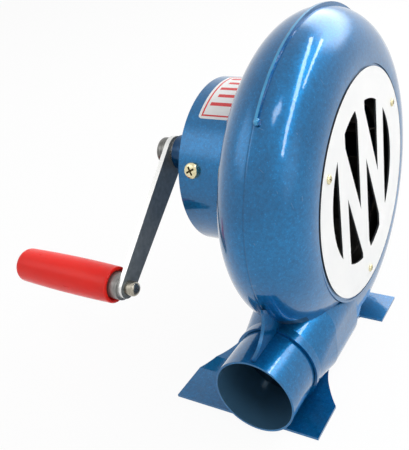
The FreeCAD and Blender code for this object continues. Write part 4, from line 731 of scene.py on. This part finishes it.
# Side screws of the drum: 120 degrees apart, seated on the drum's outside. Each place is the
# angle round the drum in degrees and the turn of the recess in radians.
SIDE_SCREW_TURNS = ((163, 0.5), (283, 0.1), (43, 1.2))
SIDE_SCREW = {"head_radius": 6.2 * MM, "head": 4.0 * MM, "shank_radius": 2.5 * MM,
              "shank": 8.0 * MM}
side_centre = Vector((box_middle("drum_screws").x, DRUM_MIDDLE.y, DRUM_MIDDLE.z))
side_places = []
for degrees, spin in SIDE_SCREW_TURNS:
    direction = across_x(degrees)
    side_places.append(outward(side_centre + direction * DRUM_RADIUS, direction, spin))
cross_screws("side_screws", "drum_screws", side_places, **SIDE_SCREW)

# Screws of the inlet guard: 120 degrees apart, seated on its face.
GUARD_SCREW_TURNS = ((32, 0.3), (152, 0.9), (272, 0.1))
GUARD_SCREW_CIRCLE = 77 * MM
GUARD_SCREW = {"head_radius": 3.2 * MM, "head": 1.6 * MM, "shank_radius": 1.6 * MM,
               "shank": 5.0 * MM}
guard_centre = Vector((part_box("inlet_grille")[1].x, FAN_AXIS.y, FAN_AXIS.z))
guard_places = []
for degrees, spin in GUARD_SCREW_TURNS:
    seat = guard_centre + across_x(degrees) * GUARD_SCREW_CIRCLE
    guard_places.append(outward(seat, Vector((1, 0, 0)), spin))
cross_screws("guard_screws", "grille_screws", guard_places, **GUARD_SCREW)


# ---------------------------------------------------------------- sticker

# Plain sticker on the drum's top, with a frame and bars and no words. The angles are in degrees,
# the rises are those of each sheet's underside over the drum.
LABEL_X = (-79 * MM, -41 * MM)
LABEL_ANGLES = (80, 129)
LABEL_CORNER = 2.5 * MM
LABEL_RISE = 0.02 * MM
LABEL_THICKNESS = 0.1 * MM
PRINT_RISE = 0.13 * MM
PRINT_THICKNESS = 0.05 * MM
PRINT_CORNER = 0.3 * MM
PRINT_MARGIN = 2.2 * MM
PRINT_LINE = 1.3 * MM
BARS = 5
BAR_SHARE = 0.36            # bar's share of the pitch
BAR_INSETS = (3.5 * MM, 6.1 * MM)
PATCH_ROWS = 48
PATCH_COLUMNS = 6


def drum_patch(mesh, x_range, angle_range, rise, corner):
    """Patch that follows the drum, with rounded corners."""
    first, last = x_range
    low, high = (math.radians(angle) for angle in angle_range)
    radius = DRUM_RADIUS + rise
    length = (high - low) * radius
    grid = []
    for row in range(PATCH_ROWS + 1):
        along = length * row / PATCH_ROWS
        near = min(along, length - along)
        inset = 0
        if near < corner:
            inset = corner - math.sqrt(max(corner ** 2 - (corner - near) ** 2, 0))
        angle = low + along / radius
        y = DRUM_MIDDLE.y + radius * math.cos(angle)
        z = DRUM_MIDDLE.z + radius * math.sin(angle)
        width = last - first - 2 * inset
        grid.append([mesh.verts.new((first + inset + width * column / PATCH_COLUMNS, y, z))
                     for column in range(PATCH_COLUMNS + 1)])
    for line, next_line in zip(grid, grid[1:]):
        for column in range(PATCH_COLUMNS):
            mesh.faces.new((line[column], line[column + 1], next_line[column + 1],
                            next_line[column]))


def fixed_order(elements, place):
    """Put a mesh's vertices or faces in the order of their places."""
    rank = {element: number for number, element in enumerate(sorted(elements, key=place))}
    elements.sort(key=rank.get)


def closed_sheet(mesh, thickness):
    """Give patches a thin solid body that stands on their own surface."""
    mesh.normal_update()
    bmesh.ops.solidify(mesh, geom=mesh.faces[:], thickness=thickness)
    bmesh.ops.recalc_face_normals(mesh, faces=mesh.faces)
    # Blender adds the rim in an order that changes from run to run.
    fixed_order(mesh.verts, lambda vert: vert.co[:])
    fixed_order(mesh.faces, lambda face: face.calc_center_median()[:])


def print_patches():
    """Ranges along X and of the angle for the four sides of the frame and for the bars."""
    degree = math.degrees(1 / (DRUM_RADIUS + PRINT_RISE))
    first, last = LABEL_X[0] + PRINT_MARGIN, LABEL_X[1] - PRINT_MARGIN
    low, high = (LABEL_ANGLES[0] + PRINT_MARGIN * degree, LABEL_ANGLES[1] - PRINT_MARGIN * degree)
    step = PRINT_LINE * degree
    patches = [
        ((first, last), (low, low + step)), ((first, last), (high - step, high)),
        ((first, first + PRINT_LINE), (low + step, high - step)),
        ((last - PRINT_LINE, last), (low + step, high - step)),
    ]
    bars_low, bars_high = low + 3 * step, high - 3 * step
    pitch = (bars_high - bars_low) / BARS
    for bar in range(BARS):
        start = bars_low + bar * pitch
        inset = BAR_INSETS[bar % 2]
        patches.append(((first + inset, last - inset), (start, start + pitch * BAR_SHARE)))
    return patches


def drum_label():
    """Paper of the sticker and, just above it, its red print."""
    paper = bmesh.new()
    drum_patch(paper, LABEL_X, LABEL_ANGLES, LABEL_RISE, LABEL_CORNER)
    closed_sheet(paper, LABEL_THICKNESS)
    new_piece("drum_label", paper, "paper", "frame", smooth=50)

    ink = bmesh.new()
    for x_range, angle_range in print_patches():
        drum_patch(ink, x_range, angle_range, PRINT_RISE, PRINT_CORNER)
    closed_sheet(ink, PRINT_THICKNESS)
    new_piece("drum_label_print", ink, "ink", "frame", smooth=50)


drum_label()


# ---------------------------------------------------------------- stage, light and camera

WHITE = (1, 1, 1, 1)
FLOOR_COLOUR = (0.88, 0.88, 0.88, 1)
FLOOR_GLOW = 0.94           # share of white in what the camera sees of the floor
FLOOR_HALF_SIZE = 14
FLOOR_DROP = 0.1 * MM
SKY_LIGHT = 0.35            # the sky's level as a light. It looks white, at a level of 1.

# Name, both ends as offsets from the fan's centre, width, watts and width of the soft edge.
LAMPS = (
    ("strip_long", (0.12, 0.88, 1.11), (1.57, -0.77, 1.08), 0.17, 13, 0.04),
    ("strip_short", (0.60, 1.00, 1.12), (1.13, 0.16, 1.10), 0.12, 4.5, 0.03),
    ("spot_front", (0.30, -0.42, 1.09), (0.54, -0.60, 1.09), 0.42, 3, 0.12),
    ("side", (1.30, -0.90, 0.30), (1.30, 0.20, 0.30), 1.1, 2, 0.45),
    ("left", (-1.55, -0.50, 0.95), (-0.45, -1.50, 0.95), 1.2, 6.5, 0.45),
    ("rear", (-0.75, 1.20, 0.88), (1.15, 1.20, 0.88), 1.15, 26, 0.42),
)

CAMERA_LENS = 53.209
CAMERA_SHIFT = (-0.0957, -0.0289)
CAMERA_PLACE = (0.19239, FAN_AXIS.y - 0.42582, 0.36258)
CAMERA_TURN = (0.838392, 0.484577, 0.173923, 0.178983)
CAMERA_CLIP = (0.05, 60)


def floor():
    """Large pale floor that looks white and keeps the shadow."""
    mesh = bmesh.new()
    bmesh.ops.create_grid(mesh, x_segments=1, y_segments=1, size=FLOOR_HALF_SIZE)
    data = bpy.data.meshes.new("floor")
    mesh.to_mesh(data)
    mesh.free()
    piece = bpy.data.objects.new("floor", data)
    piece.location.z = -FLOOR_DROP
    bpy.context.scene.collection.objects.link(piece)
    material = bpy.data.materials.new("floor_white")
    material.use_nodes = True
    nodes = Nodes(material.node_tree)
    output = nodes.node("OutputMaterial")
    diffuse = nodes.node("BsdfDiffuse")
    diffuse.inputs["Color"].default_value = FLOOR_COLOUR
    glow = nodes.node("Emission")
    glow.inputs["Color"].default_value = WHITE
    blend = nodes.node("MixShader")
    nodes.join(nodes.maths("MULTIPLY", nodes.seen_directly(), FLOOR_GLOW), blend.inputs[0])
    nodes.join(diffuse.outputs[0], blend.inputs[1])
    nodes.join(glow.outputs[0], blend.inputs[2])
    nodes.join(blend.outputs[0], output.inputs["Surface"])
    data.materials.append(material)


def world():
    """White surroundings for what sees them directly, and a softer level that lights the object."""
    sky = bpy.data.worlds.new("studio")
    bpy.context.scene.world = sky
    sky.use_nodes = True
    nodes = Nodes(sky.node_tree)
    output = nodes.node("OutputWorld")
    background = nodes.node("Background")
    level = nodes.node("MapRange")
    nodes.join(nodes.seen_directly(), level.inputs["Value"])
    level.inputs["To Min"].default_value = SKY_LIGHT
    level.inputs["To Max"].default_value = 1.0
    nodes.join(level.outputs[0], background.inputs["Strength"])
    background.inputs["Color"].default_value = WHITE
    nodes.join(background.outputs[0], output.inputs["Surface"])


def soften(data, edge):
    """Let a lamp's strength fade over its outer edge, as cloth over a lamp does."""
    data.use_nodes = True
    nodes = Nodes(data.node_tree, clear=False)
    place = nodes.node("TexCoord").outputs["UV"]
    middle = 0.5
    fades = []
    for axis, size in ((X, data.size), (Y, data.size_y)):
        distance = nodes.maths("ABSOLUTE", nodes.maths("SUBTRACT", nodes.axis(place, axis), middle))
        fade = nodes.node("MapRange", interpolation_type="SMOOTHSTEP")
        fade.inputs["From Min"].default_value = middle
        fade.inputs["From Max"].default_value = middle - min(edge / size, 0.49)
        nodes.join(distance, fade.inputs["Value"])
        fades.append(fade.outputs[0])
    emission = data.node_tree.nodes["Emission"]
    nodes.join(nodes.maths("MULTIPLY", *fades), emission.inputs["Strength"])


def lamp(name, first, last, width, power, edge):
    """Long area lamp between two offsets from the fan's centre, which it faces."""
    first, last = Vector(first), Vector(last)
    away = ((first + last) / 2).normalized()
    along = (last - first).normalized()
    side = away.cross(along).normalized()
    data = bpy.data.lights.new(name, "AREA")
    data.shape = "RECTANGLE"
    data.size = (last - first).length
    data.size_y = width
    data.energy = power
    soften(data, edge)
    item = bpy.data.objects.new(name, data)
    turn = Matrix((side.cross(away), side, away)).transposed().to_4x4()
    centre = Vector((0, FAN_AXIS.y, FAN_AXIS.z)) + (first + last) / 2
    item.matrix_world = Matrix.Translation(centre) @ turn
    bpy.context.scene.collection.objects.link(item)


def camera():
    """Camera at the height and side from which the machine is shown."""
    data = bpy.data.cameras.new("camera")
    data.lens = CAMERA_LENS
    data.shift_x, data.shift_y = CAMERA_SHIFT
    data.clip_start, data.clip_end = CAMERA_CLIP
    item = bpy.data.objects.new("camera", data)
    item.location = CAMERA_PLACE
    item.rotation_mode = "QUATERNION"
    item.rotation_quaternion = CAMERA_TURN
    bpy.context.scene.collection.objects.link(item)
    bpy.context.scene.camera = item


floor()
world()
for lamp_settings in LAMPS:
    lamp(*lamp_settings)
camera()
bpy.context.scene.view_settings.view_transform = "Standard"
